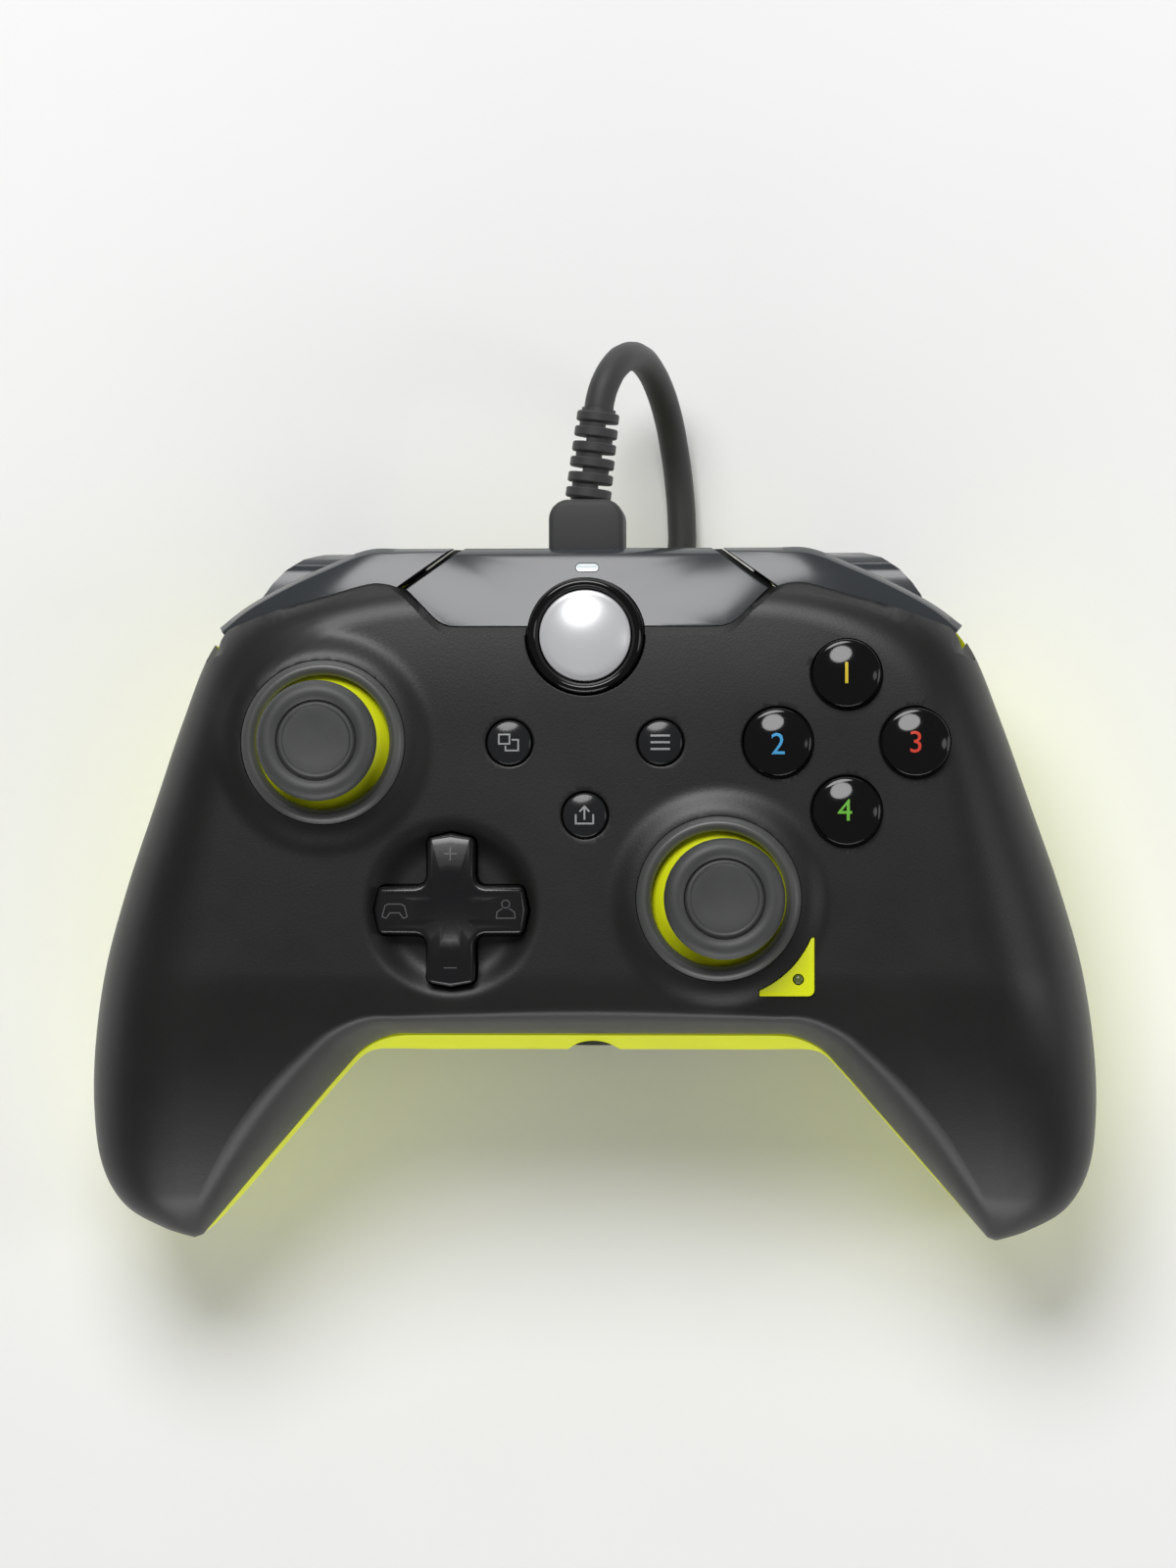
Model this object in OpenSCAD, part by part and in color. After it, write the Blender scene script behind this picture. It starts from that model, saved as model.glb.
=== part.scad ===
// Wired gamepad controller, lying face up on its grips and trigger humps.
// Origin: middle of the footprint without the cord, on the floor. +X right, +Y towards the cord, +Z face.

/* [Body] */
// Width over the grips
body_w = 153.4; // [146:0.2:162]
// Length from the grip tips to the front of the centre panel
body_l = 105.2; // [100:0.2:111]
// Height of the flat face above the floor
face_z = 50; // [48:0.5:53]
// Height of the flat belly between the grips
belly_z = 16.5; // [15.5:0.5:19]
// Height of the parting surface at the middle of the body
part_z = 33.5; // [32:0.5:35.5]
// Wall thickness of both shells
wall = 2.2; // [1.8:0.1:2.6]

/* [Sticks] */
// Left stick, across
left_stick_x = -39.2; // [-42:0.1:-37]
// Left stick, along
left_stick_y = 22.6; // [20:0.1:24]
// Right stick, across
right_stick_x = 20; // [19:0.1:23]
// Right stick, along
right_stick_y = -0.8; // [-2:0.1:1]
// Radius of the opening that a stick moves in
opening_r = 10.05; // [9.6:0.05:10.6]
// Outer radius of the collar round the opening
collar_r = 12.3; // [12:0.1:13]
// Radius of the rubber cap
cap_r = 8.95; // [8.4:0.05:9.4]
// Height of the top of the cap above the floor
cap_z = 61; // [60:0.2:63]
// Radius of the round skirt below the cap
skirt_r = 15.6; // [15.4:0.1:16]
// Lean of the right stick at rest, in degrees
right_lean = 3; // [0:0.5:3]

/* [Buttons] */
// Middle of the four face buttons, across
face_group_x = 39.05; // [37:0.1:40]
// Middle of the four face buttons, along
face_group_y = 22.5; // [21:0.1:23.5]
// Distance from that middle to each face button
face_pitch = 10.25; // [9.9:0.05:10.8]
// Radius of a face button
face_button_r = 5.08; // [4.8:0.02:5.2]
// Distance of the two upper small buttons from the middle line
small_x = 11.3; // [10.8:0.1:12]
// Place of the two upper small buttons, along
small_y = 22.5; // [21:0.1:24]
// Place of the lower small button, along
share_y = 11.65; // [10:0.1:13]
// Radius of a small button
small_r = 3.3; // [3:0.05:3.5]
// Place of the guide button, along
guide_y = 38.5; // [38:0.1:39]
// Radius of the guide dome
guide_r = 6.85; // [6.5:0.05:7]
// Outer radius of the guide ring
guide_ring_r = 8.75; // [8.5:0.05:9]
// Running gap between a button and its hole
button_gap = 0.2; // [0.15:0.05:0.3]

/* [Cross pad] */
// Middle of the cross pad, across
pad_x = -20; // [-21:0.1:-19]
// Middle of the cross pad, along
pad_y = -2.5; // [-3:0.1:-1.5]
// Length of an arm from the middle
pad_arm = 11.5; // [11:0.1:11.8]
// Width of an arm
pad_w = 7.1; // [6.6:0.1:7.6]
// Radius of the bowl in the face
bowl_r = 13.2; // [13:0.1:13.6]

/* [Inside] */
// Top of the circuit board
board_z = 31; // [30.6:0.1:31.4]
// Thickness of the circuit board
board_t = 1.6; // [1.2:0.1:1.8]
// Radius of a screw shank
screw_r = 1.2; // [1:0.05:1.3]
// Radius of a trigger pin
pin_r = 1.2; // [1:0.05:1.4]
// Radius of a rumble motor's can
motor_r = 8; // [7:0.2:8.4]
// Radius of a rumble weight
weight_r = 7.6; // [6.6:0.2:8]
// Radius of the hole in the headset jack
jack_r = 1.8; // [1.75:0.05:1.9]

/* [Cord] */
// Diameter of the cord
cord_d = 4.5; // [4.2:0.1:4.6]
// Width of the plug block at the controller
block_w = 11.4; // [11:0.1:12]
// Diameter across the middle of the coil's turns
coil_d = 45; // [45:1:47]

/* [Hidden] */
$fn = 64;

dark = [0.16, 0.17, 0.16];
gloss = [0.36, 0.38, 0.40];
black = [0.07, 0.07, 0.07];
lime = [0.80, 0.88, 0.16];
steel = [0.72, 0.73, 0.75];
rubber_grey = [0.27, 0.28, 0.28];

// Clearances
gap = 0.2;
pin_gap = 0.05;

// Share of the drawn outline that the asked width and length give
sx = body_w / 153.4;
sy = body_l / 105.2;
part_slope = 0.11;
part_angle = atan(part_slope);
// The front shell's rim stands a little above the parting surface
part_lift = 0.1;

// Stations of the loft from the right grip's tip round to the middle of the body:
// outer edge x, y, inner edge x, y, top rounding outside and inside, rear bulge towards the inside
stations = [
  [61.6, -53.0, 60.2, -52.5, 1, 1, 0.2],
  [66.5, -51.4, 57.9, -49.8, 4, 3, 0.3],
  [72.2, -48.0, 55.0, -46.4, 9, 5, 0.5],
  [75.6, -42.0, 51.6, -42.4, 13, 6, 0.6],
  [76.7, -33.5, 47.0, -37.1, 15, 7, 0.6],
  [76.3, -23.0, 42.3, -31.7, 16, 7, 0.6],
  [74.4, -11.0, 38.0, -26.8, 16, 6, 0.6],
  [71.0, 1.0, 34.8, -23.5, 16, 5, 0.9],
  [66.8, 13.0, 30.5, -21.6, 15, 4.5, 2.5],
  [62.2, 26.0, 26.0, -21.4, 14, 4, 2.8],
  [57.6, 37.0, 21.5, -21.4, 13, 4, 2.8],
  [52.0, 43.0, 17.5, -21.4, 11, 4, 2.8],
  [43.0, 46.8, 13.5, -21.4, 9, 4, 2.8],
  [32.0, 49.0, 10.0, -21.4, 8, 4, 2.8],
  [21.0, 49.6, 6.6, -21.4, 8, 4, 2.8],
  [10.5, 49.6, 3.3, -21.4, 8, 4, 2.8],
  [0.0, 49.6, 0.0, -21.4, 8, 4, 2.8]
];
last = len(stations) - 1;
sections = 23;

// Upper edge of the front shell, right half, from the middle line outwards
edge_flat_y = 39.85;
edge_points = [
  [0, edge_flat_y], [19.4, edge_flat_y], [21.2, 40.15], [22.7, 41.0], [27.0, 45.3], [28.6, 46.6],
  [30.4, 47.4], [32.4, 47.6], [34.6, 47.1], [53.6, 40.3], [60, 38.0]
];

function clamp(v, lo, hi) = max(lo, min(hi, v));
function smooth(v) = let (c = clamp(v, 0, 1)) c * c * (3 - 2 * c);
function mix(a, b, k) = a * (1 - k) + b * k;

// Smooth curve through a list of points or rows, t counted in points
function curve(p, t) =
  let (
    n = len(p) - 1, i = clamp(floor(t), 0, n - 1), k = t - i,
    a = p[max(i - 1, 0)], b = p[i], c = p[i + 1], d = p[min(i + 2, n)]
  )
  0.5 * (2 * b + (c - a) * k + (2 * a - 5 * b + 4 * c - d) * k * k + (3 * b - a - 3 * c + d) * k * k * k);

// Height of the parting surface, of the face and of the underside at a place
function parting(y) = part_z + part_slope * y;
function face_height(x, y) =
  let (
    grip = clamp((-12 * sy - y) / (41 * sy), 0, 1),
    brow = clamp((y - 25) / 22, 0, 1.2)
  )
  face_z - 17 * pow(grip, 1.6) - 1.0 * pow(abs(x) / 75, 2) - 1.3 * brow * brow;
function grip_depth(x, y) = smooth((abs(x) / sx - 38) / 16) * (0.4 + 0.6 * smooth((-2 - y / sy) / 22));
function belly_height(x, y) = belly_z * (1 - grip_depth(x, y));

// A station row at t, with its edges moved inwards by inset
function row_at(t, inset) =
  let (
    r = curve(stations, t), o = [r[0] * sx, r[1] * sy], i = [r[2] * sx, r[3] * sy],
    span = norm(i - o), dir = (i - o) / span, m = min(inset, 0.45 * span)
  )
  [o + dir * m, i - dir * m, r[4], r[5], r[6], dir, span - 2 * m];

// How full the section is: it closes round the grip's tip
function fullness(t, inset) =
  let (k = clamp((t - 0.55 * inset) / 2.3, 0.012, 1)) sqrt(1 - (1 - k) * (1 - k));

arc_steps = 4;
flat_steps = 5;

// Points of the face side of a section, from the outer edge over the face to the inner edge
function face_arc(t, inset) =
  let (
    w = row_at(t, inset), o = w[0], dir = w[5], span = w[6], f = fullness(t, inset),
    ro = min(max(w[2] - inset, 1), 0.55 * span), ri = min(max(w[3] - inset, 1), 0.4 * span),
    spots = concat(
      [for (k = [0:arc_steps]) [ro * (1 - cos(90 * k / arc_steps)), sin(90 * k / arc_steps)]],
      [for (k = [1:flat_steps - 1]) [mix(ro, span - ri, k / flat_steps), 1]],
      [for (k = [arc_steps:-1:0]) [span - ri * (1 - cos(90 * k / arc_steps)), sin(90 * k / arc_steps)]]
    )
  )
  [for (s = spots) let (p = o + dir * s[0], base = parting(p[1]))
    [p[0], p[1], base + (face_height(p[0], p[1]) - inset - base) * s[1] * f]];

// Points of the rear side of a section, from the inner edge under the belly to the outer edge
function rear_arc(t, inset) =
  let (
    w = row_at(t, inset), o = w[0], dir = w[5], f = fullness(t, inset),
    bulge = w[4] * f, out = t > 7.5 ? [0, -1] : t > 6.5 ? mix(dir, [0, -1], t - 6.5) : dir,
    i = w[1] + out * bulge, span = norm(i - o), along = (o - i) / span,
    grip = 1 - smooth((t - 5) / 3), ri = max(min(mix(7, 0.5 * span, grip), 0.5 * span) - inset, 0.5),
    ro = max(min(mix(9, 0.5 * span, grip), 0.5 * span) - inset, 0.5),
    spots = concat(
      [for (k = [0:arc_steps]) [ri * (1 - cos(90 * k / arc_steps)), sin(90 * k / arc_steps)]],
      [for (k = [1:flat_steps - 1]) [mix(ri, span - ro, k / flat_steps), 1]],
      [for (k = [arc_steps:-1:0]) [span - ro * (1 - cos(90 * k / arc_steps)), sin(90 * k / arc_steps)]]
    ),
    low = 4.5 * f
  )
  concat(
    [[w[1][0], w[1][1], parting(w[1][1])]],
    [for (s = spots) let (
        p = i + along * s[0], drop = low * clamp(1 - s[0] / span, 0, 1),
        base = parting(p[1]) - drop
      )
      [p[0], p[1], base - (base - belly_height(p[0], p[1]) - inset) * s[1] * f]]
  );

// Positions of the sections from one grip's tip to the other's, the left ones being mirrored
function section_rows(inset) =
  let (t0 = 0.55 * inset) [for (k = [0:sections - 1]) t0 + (last - t0) * pow(k / (sections - 1), 0.92)];
function flipped(ring) = [for (p = ring) [-p[0], p[1], p[2]]];

// A closed solid through rings of equal length
module skin(rings) {
  n = len(rings);
  m = len(rings[0]);
  polyhedron(
    points = [for (r = rings) for (p = r) p],
    faces = concat(
      [[for (j = [m - 1:-1:0]) j]],
      [[for (j = [0:m - 1]) (n - 1) * m + j]],
      [for (i = [0:n - 2]) for (j = [0:m - 1]) [i * m + j, i * m + (j + 1) % m, (i + 1) * m + j]],
      [for (i = [0:n - 2]) for (j = [0:m - 1])
        [i * m + (j + 1) % m, (i + 1) * m + (j + 1) % m, (i + 1) * m + j]]
    ),
    convexity = 8
  );
}

function below(p, depth) = [p[0], p[1], p[2] + depth];
function face_ring(t, inset, skirt) =
  let (a = face_arc(t, inset)) concat([below(a[0], -skirt)], a, [below(a[len(a) - 1], -skirt)]);
function rear_ring(t, inset, skirt) =
  let (a = rear_arc(t, inset)) concat([below(a[0], skirt)], a, [below(a[len(a) - 1], skirt)]);

module face_body(inset, skirt = 6) {
  rows = section_rows(inset);
  right = [for (t = rows) face_ring(t, inset, skirt)];
  left = [for (k = [sections - 2:-1:0]) flipped(face_ring(rows[k], inset, skirt))];
  skin(concat(right, left));
}

module rear_body(inset, skirt = 6) {
  rows = section_rows(inset);
  right = [for (t = rows) rear_ring(t, inset, skirt)];
  left = [for (k = [sections - 2:-1:0]) flipped(rear_ring(rows[k], inset, skirt))];
  skin(concat(right, left));
}

// Half space above the parting surface, moved up by lift
module above_parting(lift = 0) {
  translate([0, 0, part_z + lift]) rotate([part_angle, 0, 0])
    translate([-100, -100, 0]) cube([200, 200, 60]);
}

module both_sides() {
  children();
  mirror([1, 0, 0]) children();
}

// Plan of the front shell below its upper edge
module edge_plan(back = 0) {
  offset(delta = -back)
    polygon(concat(
      [for (p = edge_points) p], [[90, 30], [90, -70], [-90, -70], [-90, 30]],
      [for (k = [len(edge_points) - 1:-1:1]) [-edge_points[k][0], edge_points[k][1]]]
    ));
}

// Where the shells are screwed together: x, y, and the height of the screw's head
screws = [
  [60, -38, 9], [-60, -38, 9], [57, 6, 14], [-57, 6, 14], [0, 0, belly_z + 3]
];
boss_r = 3.1;
boss_join = board_z + 3;
head_r = 2.4;
head_h = 1.8;

module boss_posts(low, high, r) {
  for (s = screws) translate([s[0], s[1], low]) cylinder(r = r, h = high - low, $fn = 16);
}

// Four thin gussets round each boss
module boss_gussets(low, high, reach) {
  for (s = screws) for (a = [45, 135]) translate([s[0], s[1], 0]) rotate([0, 0, a]) hull() {
    translate([-reach, -0.5, low]) cube([2 * reach, 1, 1]);
    translate([-boss_r, -0.5, high - 1]) cube([2 * boss_r, 1, 1]);
  }
}

mound_r = 14.9;
mound_h = 1.2;
collar_top = face_z + 2;
pivot_z = board_z + 6.6;

module stick_place(side) {
  if (side < 0) translate([left_stick_x, left_stick_y, 0]) children();
  else translate([right_stick_x, right_stick_y, 0]) children();
}

// The parts that tilt with a stick, the right one leaning a little outwards
module stick_lean(side) {
  stick_place(side) translate([0, 0, pivot_z]) rotate([0, side > 0 ? right_lean : 0, 0])
    translate([0, 0, -pivot_z]) children();
}

module cross_outline(grow = 0) {
  offset(r = grow, $fn = 16) offset(r = -1.6, $fn = 16) offset(r = 1.6, $fn = 16)
    intersection() {
      union() {
        square([2 * pad_arm, pad_w], center = true);
        square([pad_w, 2 * pad_arm], center = true);
      }
      circle(r = pad_arm + 0.05);
    }
}

// Dish of the bowl, from its floor up to its rim
bowl_depth = 2.0;
bowl_slope = 4.2;
function bowl_profile() = concat(
  [[0, 5], [0, -bowl_depth]],
  [for (a = [0:15:60])
    [bowl_r - bowl_slope * (1 - sin(a) / sin(60)), -bowl_depth * (1 - (1 - cos(a)) / (1 - cos(60)))]],
  [[bowl_r, 5]]
);

face_spots = [
  [face_group_x, face_group_y + face_pitch], [face_group_x - face_pitch, face_group_y],
  [face_group_x + face_pitch, face_group_y], [face_group_x, face_group_y - face_pitch]
];
small_spots = [[-small_x, small_y], [small_x, small_y], [0, share_y]];

// Front casing
inlay_inner = collar_r + 2.6;
inlay_t = 0.9;
module inlay_plan(grow = 0) {
  offset(r = grow, $fn = 16) offset(r = 0.9, $fn = 16) offset(r = -0.9, $fn = 16) difference() {
    translate([right_stick_x, right_stick_y])
      polygon([[11, -5.4], [14.2, -5.4], [14.2, -14.5], [5.4, -14.5], [5.4, -11]]);
    translate([right_stick_x, right_stick_y]) circle(r = inlay_inner, $fn = 60);
  }
}

module front_shell() {
  color(dark) difference() {
    union() {
      difference() {
        intersection() {
          face_body(0);
          above_parting(part_lift);
          translate([0, 0, 10]) linear_extrude(60) edge_plan();
        }
        intersection() {
          face_body(wall, 9);
          translate([0, 0, 0]) linear_extrude(70) edge_plan(2 * wall);
        }
        difference() {
          face_body(wall / 2 - 0.3);
          above_parting(1.7);
        }
      }
      intersection() {
        face_body(wall / 2);
        union() {
          boss_posts(boss_join + gap / 2, face_z, boss_r);
          boss_gussets(boss_join + 6, face_z, boss_r + 3);
          for (side = [-1, 1]) stick_place(side) translate([0, 0, face_z - 2 * wall])
            cylinder(r = collar_r + 0.9, h = 2 * wall, $fn = 24);
          translate([pad_x, pad_y, face_z - 2 * wall]) cylinder(r = bowl_r + 0.6, h = 2 * wall, $fn = 24);
        }
      }
      for (side = [-1, 1]) stick_place(side) translate([0, 0, face_z - 1])
        cylinder(r1 = mound_r + 0.4, r2 = collar_r + 0.3, h = 1 + mound_h - 0.2, $fn = 40);
    }
    for (s = screws) translate([s[0], s[1], boss_join - 1])
      cylinder(r = screw_r + 0.15, h = face_height(s[0], s[1]) - wall - 1.2 - boss_join + 1, $fn = 16);
    for (side = [-1, 1]) stick_place(side) {
      translate([0, 0, face_z - 10]) cylinder(r = collar_r - 0.4, h = 20, $fn = 40);
      translate([0, 0, face_z]) cylinder(r = collar_r + gap / 2, h = 10, $fn = 40);
      translate([0, 0, pivot_z]) rotate_extrude($fn = 40) polygon(concat(
        [[0, 0]], [for (a = [0:24:48]) (skirt_r + 1.2) * [cos(a), sin(a)]], [[0, 14]]
      ));
    }
    translate([pad_x, pad_y, face_z]) rotate_extrude($fn = 44) polygon(bowl_profile());
    translate([pad_x, pad_y, face_z - 20]) linear_extrude(30) cross_outline(0.4);
    for (p = face_spots) translate([p[0], p[1], face_z - 20])
      cylinder(r = face_button_r + button_gap, h = 30, $fn = 28);
    for (p = small_spots) translate([p[0], p[1], face_z - 20])
      cylinder(r = small_r + button_gap, h = 30, $fn = 20);
    translate([0, guide_y, face_z - 30]) cylinder(r = guide_ring_r + gap, h = 40, $fn = 36);
    translate([0, 0, face_z - inlay_t]) linear_extrude(10) inlay_plan(gap / 2);
    for (s = [1, -1]) bumper_pocket(s);
    edge_bevel();
  }
}

// Height of the shell's surface along its upper edge, where the brow rounds down to the bumpers
function brow_y(x) =
  sy * lookup(abs(x) / sx, [[0, 49.6], [21, 49.6], [32, 49], [43, 46.8], [52, 43], [57.6, 37]]);
function brow_r(x) = lookup(abs(x) / sx, [[0, 8], [32, 8], [43, 9], [52, 11], [57.6, 13]]);
function edge_z(x, y) =
  let (k = clamp((brow_y(x) - y) / brow_r(x), 0, 1), base = parting(y))
  base + (face_height(x, y) - base) * sqrt(1 - (1 - k) * (1 - k));

// Wide bevel along that edge, steeper where the brow is
bevel_w = 1.3;
module edge_bevel() {
  for (s = [1, -1]) for (k = [0:len(edge_points) - 3]) hull() {
    bevel_wedge(s, edge_points[k]);
    bevel_wedge(s, edge_points[k + 1]);
  }
}
module bevel_wedge(s, p) {
  y = p[1] - bevel_w;
  translate([s * p[0], y, edge_z(p[0], y)]) rotate([p[1] > 43 ? -68 : -45, 0, 0])
    translate([-0.02, 0, 0]) cube([0.04, 6, 4]);
}

// Centre panel
panel_front = 52.1;
panel_top_z = face_z - 3.2;
panel_fall = 0.28;
panel_low_z = belly_z + 6;
slit_low = [27.4, 45.7];
slit_top = [18.6, 52.1];
function panel_z(y) = panel_top_z - panel_fall * (y - 40);

module panel_side(inset) {
  f = panel_front - inset;
  polygon([
    [edge_flat_y - 4, panel_z(edge_flat_y - 4) - inset], [f - 1.0, panel_z(f - 1.0) - inset],
    [f, panel_z(f) - 1.7 - inset], [f, panel_low_z + 2], [f - 2, panel_low_z],
    [f - 2 - wall, panel_low_z], [edge_flat_y - 4, panel_low_z]
  ]);
}

module along_x(length) {
  translate([-length / 2, 0, 0]) rotate([90, 0, 90]) linear_extrude(length) children();
}

module panel_plan() {
  difference() {
    polygon(concat(
      [[slit_top[0], slit_top[1]], [slit_top[0], 60], [-slit_top[0], 60], [-slit_top[0], slit_top[1]]],
      [[-slit_low[0], slit_low[1]], [-slit_low[0], 30], [slit_low[0], 30], [slit_low[0], slit_low[1]]]
    ));
    edge_plan(-gap);
  }
}

module centre_panel() {
  color(gloss) difference() {
    intersection() {
      along_x(80) difference() {
        panel_side(0);
        polygon([
          [30, 0], [panel_front - 4, 0], [panel_front - wall, panel_low_z + 2],
          [panel_front - wall, panel_z(51) - 3.2],
          [edge_flat_y + 1.2, panel_z(edge_flat_y + 1.2) - wall], [edge_flat_y + 1.2, frame_z + 2.2],
          [30, frame_z + 2.2]
        ]);
      }
      translate([0, 0, -10]) linear_extrude(80) panel_plan();
    }
    translate([0, guide_y, 0]) cylinder(r = guide_ring_r + gap, h = 80);
    translate([0, 49, 30]) linear_extrude(30) offset(r = 0.1) pill_plan();
    translate([block_x - block_w / 2 - gap, panel_front - 5, port_z - block_h / 2 - gap])
      cube([block_w + 2 * gap, 10, block_h + 2 * gap]);
  }
}

module pill_plan() {
  hull() both_sides() translate([1.1, 0]) circle(r = 0.58, $fn = 24);
}

led_y = 42.3;
pipe_z = board_z + 6.3;
module light_pipe() {
  color([0.8, 0.84, 0.85]) {
    intersection() {
      translate([0, 49, pipe_z]) linear_extrude(9) pill_plan();
      along_x(20) polygon([
        [40, 20], [panel_front, 20], [panel_front, panel_z(panel_front) + 0.1], [40, panel_z(40) + 0.1]
      ]);
    }
    translate([-0.6, led_y - 0.6, pipe_z]) cube([1.2, 49.6 - led_y, 1.1]);
    translate([-0.6, led_y - 0.6, board_z + 1.1]) cube([1.2, 1.2, pipe_z - board_z]);
  }
}

module guide_ring() {
  color(black) translate([0, guide_y, 0]) rotate_extrude()
    polygon([
      [guide_r + gap, face_z - 6], [guide_ring_r, face_z - 6], [guide_ring_r, face_z - 0.5],
      [guide_ring_r - 0.6, face_z + 0.6], [guide_ring_r - 1.1, face_z + 0.7], [guide_r + gap, face_z - 0.2]
    ]);
}

// A dome-topped round key: rim radius, rim height, crown height, foot height, flange
module domed_key(r, rim_z, crown, foot_z, flange_r, flange_z, stem_r) {
  ball = (r * r + crown * crown) / (2 * crown);
  intersection() {
    translate([0, 0, flange_z]) cylinder(r = r, h = rim_z + crown - flange_z);
    translate([0, 0, rim_z + crown - ball]) sphere(r = ball, $fn = 96);
  }
  translate([0, 0, flange_z]) cylinder(r = flange_r, h = 1.3);
  translate([0, 0, foot_z]) cylinder(r = stem_r, h = flange_z - foot_z + 0.5);
}

guide_travel = 0.6;
module guide_button() {
  color([0.85, 0.86, 0.87]) translate([0, guide_y, 0])
    domed_key(guide_r, face_z - 0.3, 1.7, face_z - 12, guide_r + 0.9, face_z - 9, 2.4);
}

face_foot = board_z + 6;
module face_button(k) {
  p = face_spots[k];
  color(black) translate([p[0], p[1], 0])
    domed_key(face_button_r, face_z + 1.1, 1.3, face_foot, face_button_r + 0.8, face_z - wall - 3.2, 3.2);
}
module face_button_1() face_button(0);
module face_button_2() face_button(1);
module face_button_3() face_button(2);
module face_button_4() face_button(3);

small_foot = board_z + 4;
module small_button(k) {
  p = small_spots[k];
  color(gloss) translate([p[0], p[1], 0])
    domed_key(small_r, face_z + 0.5, 0.5, small_foot, small_r + 0.7, face_z - wall - 2.2, 1.6);
}
module view_button() small_button(0);
module menu_button() small_button(1);
module share_button() small_button(2);

// Cross pad
pad_top = face_z + 2.3;
module dpad() {
  color(black) translate([pad_x, pad_y, 0]) difference() {
    union() {
      intersection() {
        translate([0, 0, face_z - 5.2]) linear_extrude(8) cross_outline();
        translate([0, 0, pad_top - 1.0 - 60]) sphere(r = 61, $fn = 128);
      }
      translate([0, 0, face_z - 6.9]) cylinder(r = bowl_r - 1.2, h = 1.3);
      translate([0, 0, face_z - 6.9]) linear_extrude(2) cross_outline();
      translate([0, 0, face_z - 9.2]) difference() {
        cylinder(r = 5.8, h = 2.6);
        translate([0, 0, -1]) cylinder(r = 4.8, h = 2.9);
      }
    }
    translate([0, 0, pad_top + 25.1]) sphere(r = 26, $fn = 96);
  }
}

module dpad_pivot() {
  color(steel) translate([pad_x, pad_y, face_z - 9.0]) difference() {
    union() {
      cylinder(r = 4.0, h = 1.35);
      translate([0, 0, -4]) cylinder(r = 1.6, h = 4.5);
    }
    translate([0, 0, 0.8]) cylinder(r = 2.4, h = 2);
  }
}

module dpad_membrane() {
  color([0.55, 0.55, 0.55]) translate([pad_x, pad_y, board_z + 0.1]) difference() {
    union() {
      cylinder(r = bowl_r - 1.4, h = 1);
      for (a = [0:90:270]) rotate([0, 0, a]) translate([8.6, 0, 0])
        cylinder(r1 = 2.6, r2 = 1.7, h = 11.4, $fn = 32);
    }
    translate([0, 0, -1]) cylinder(r = 3.4, h = 5);
    for (a = [0:90:270]) rotate([0, 0, a]) translate([8.6, 0, -1]) cylinder(r = 1.3, h = 6, $fn = 32);
  }
}

// Collars round the sticks
module stick_ring(side) {
  color(rubber_grey) stick_place(side) difference() {
    rotate_extrude($fn = 96) polygon([
      [opening_r, face_z - 2.4], [collar_r - 0.6, face_z - 2.4], [collar_r - 0.6, face_z + 0.15],
      [collar_r, face_z + 0.15], [collar_r, face_z + 1.2], [collar_r - 0.9, collar_top],
      [opening_r + 0.7, collar_top], [opening_r, collar_top - 0.8]
    ]);
    translate([0, 0, pivot_z]) sphere(r = skirt_r + 0.3, $fn = 96);
  }
}
module left_stick_ring() stick_ring(-1);
module right_stick_ring() stick_ring(1);

// One stick: module on the board, two crossed rockers, cross pin, shaft, skirt and cap
cage = 7.2;
cage_wall = 1;
cage_h = 8.3;
axle_r = 1.2;
module stick_module(side) {
  color(steel) stick_place(side) difference() {
    union() {
      translate([-cage - cage_wall, -cage - cage_wall, board_z + 0.05])
        cube([2 * (cage + cage_wall), 2 * (cage + cage_wall), pivot_z - board_z + cage_h - 1]);
      translate([-cage - cage_wall - 5, -4.5, board_z + 0.05]) cube([5.1, 9, 9.4]);
      translate([-4.5, -cage - cage_wall - 5, board_z + 0.05]) cube([9, 5.1, 9.4]);
      translate([cage + cage_wall - 0.1, -3, board_z + 0.05]) cube([4, 6, 5]);
    }
    translate([-cage, -cage, board_z + 1.2]) cube([2 * cage, 2 * cage, pivot_z - board_z + cage_h - 3.2]);
    translate([0, 0, pivot_z]) cylinder(r = 5.1, h = 20);
    for (a = [0, 90]) rotate([0, 0, a]) translate([-cage - 3, 0, pivot_z]) rotate([0, 90, 0])
      cylinder(r = axle_r + pin_gap, h = 2 * cage + 6);
  }
}
module left_stick_module() stick_module(-1);
module right_stick_module() stick_module(1);

module upper_rocker(side) {
  color([0.86, 0.86, 0.84]) stick_place(side) translate([0, 0, pivot_z]) difference() {
    union() {
      translate([-5.5, -4.2, -1.7]) cube([11, 8.4, 3.4]);
      rotate([0, 90, 0]) translate([0, 0, -cage - 1.4]) cylinder(r = axle_r, h = 2 * cage + 2.8);
    }
    translate([-4, -2, -5]) cube([8, 4, 10]);
    rotate([90, 0, 0]) translate([0, 0, -6]) cylinder(r = 0.8, h = 12, $fn = 48);
  }
}
module left_upper_rocker() upper_rocker(-1);
module right_upper_rocker() upper_rocker(1);

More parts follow.
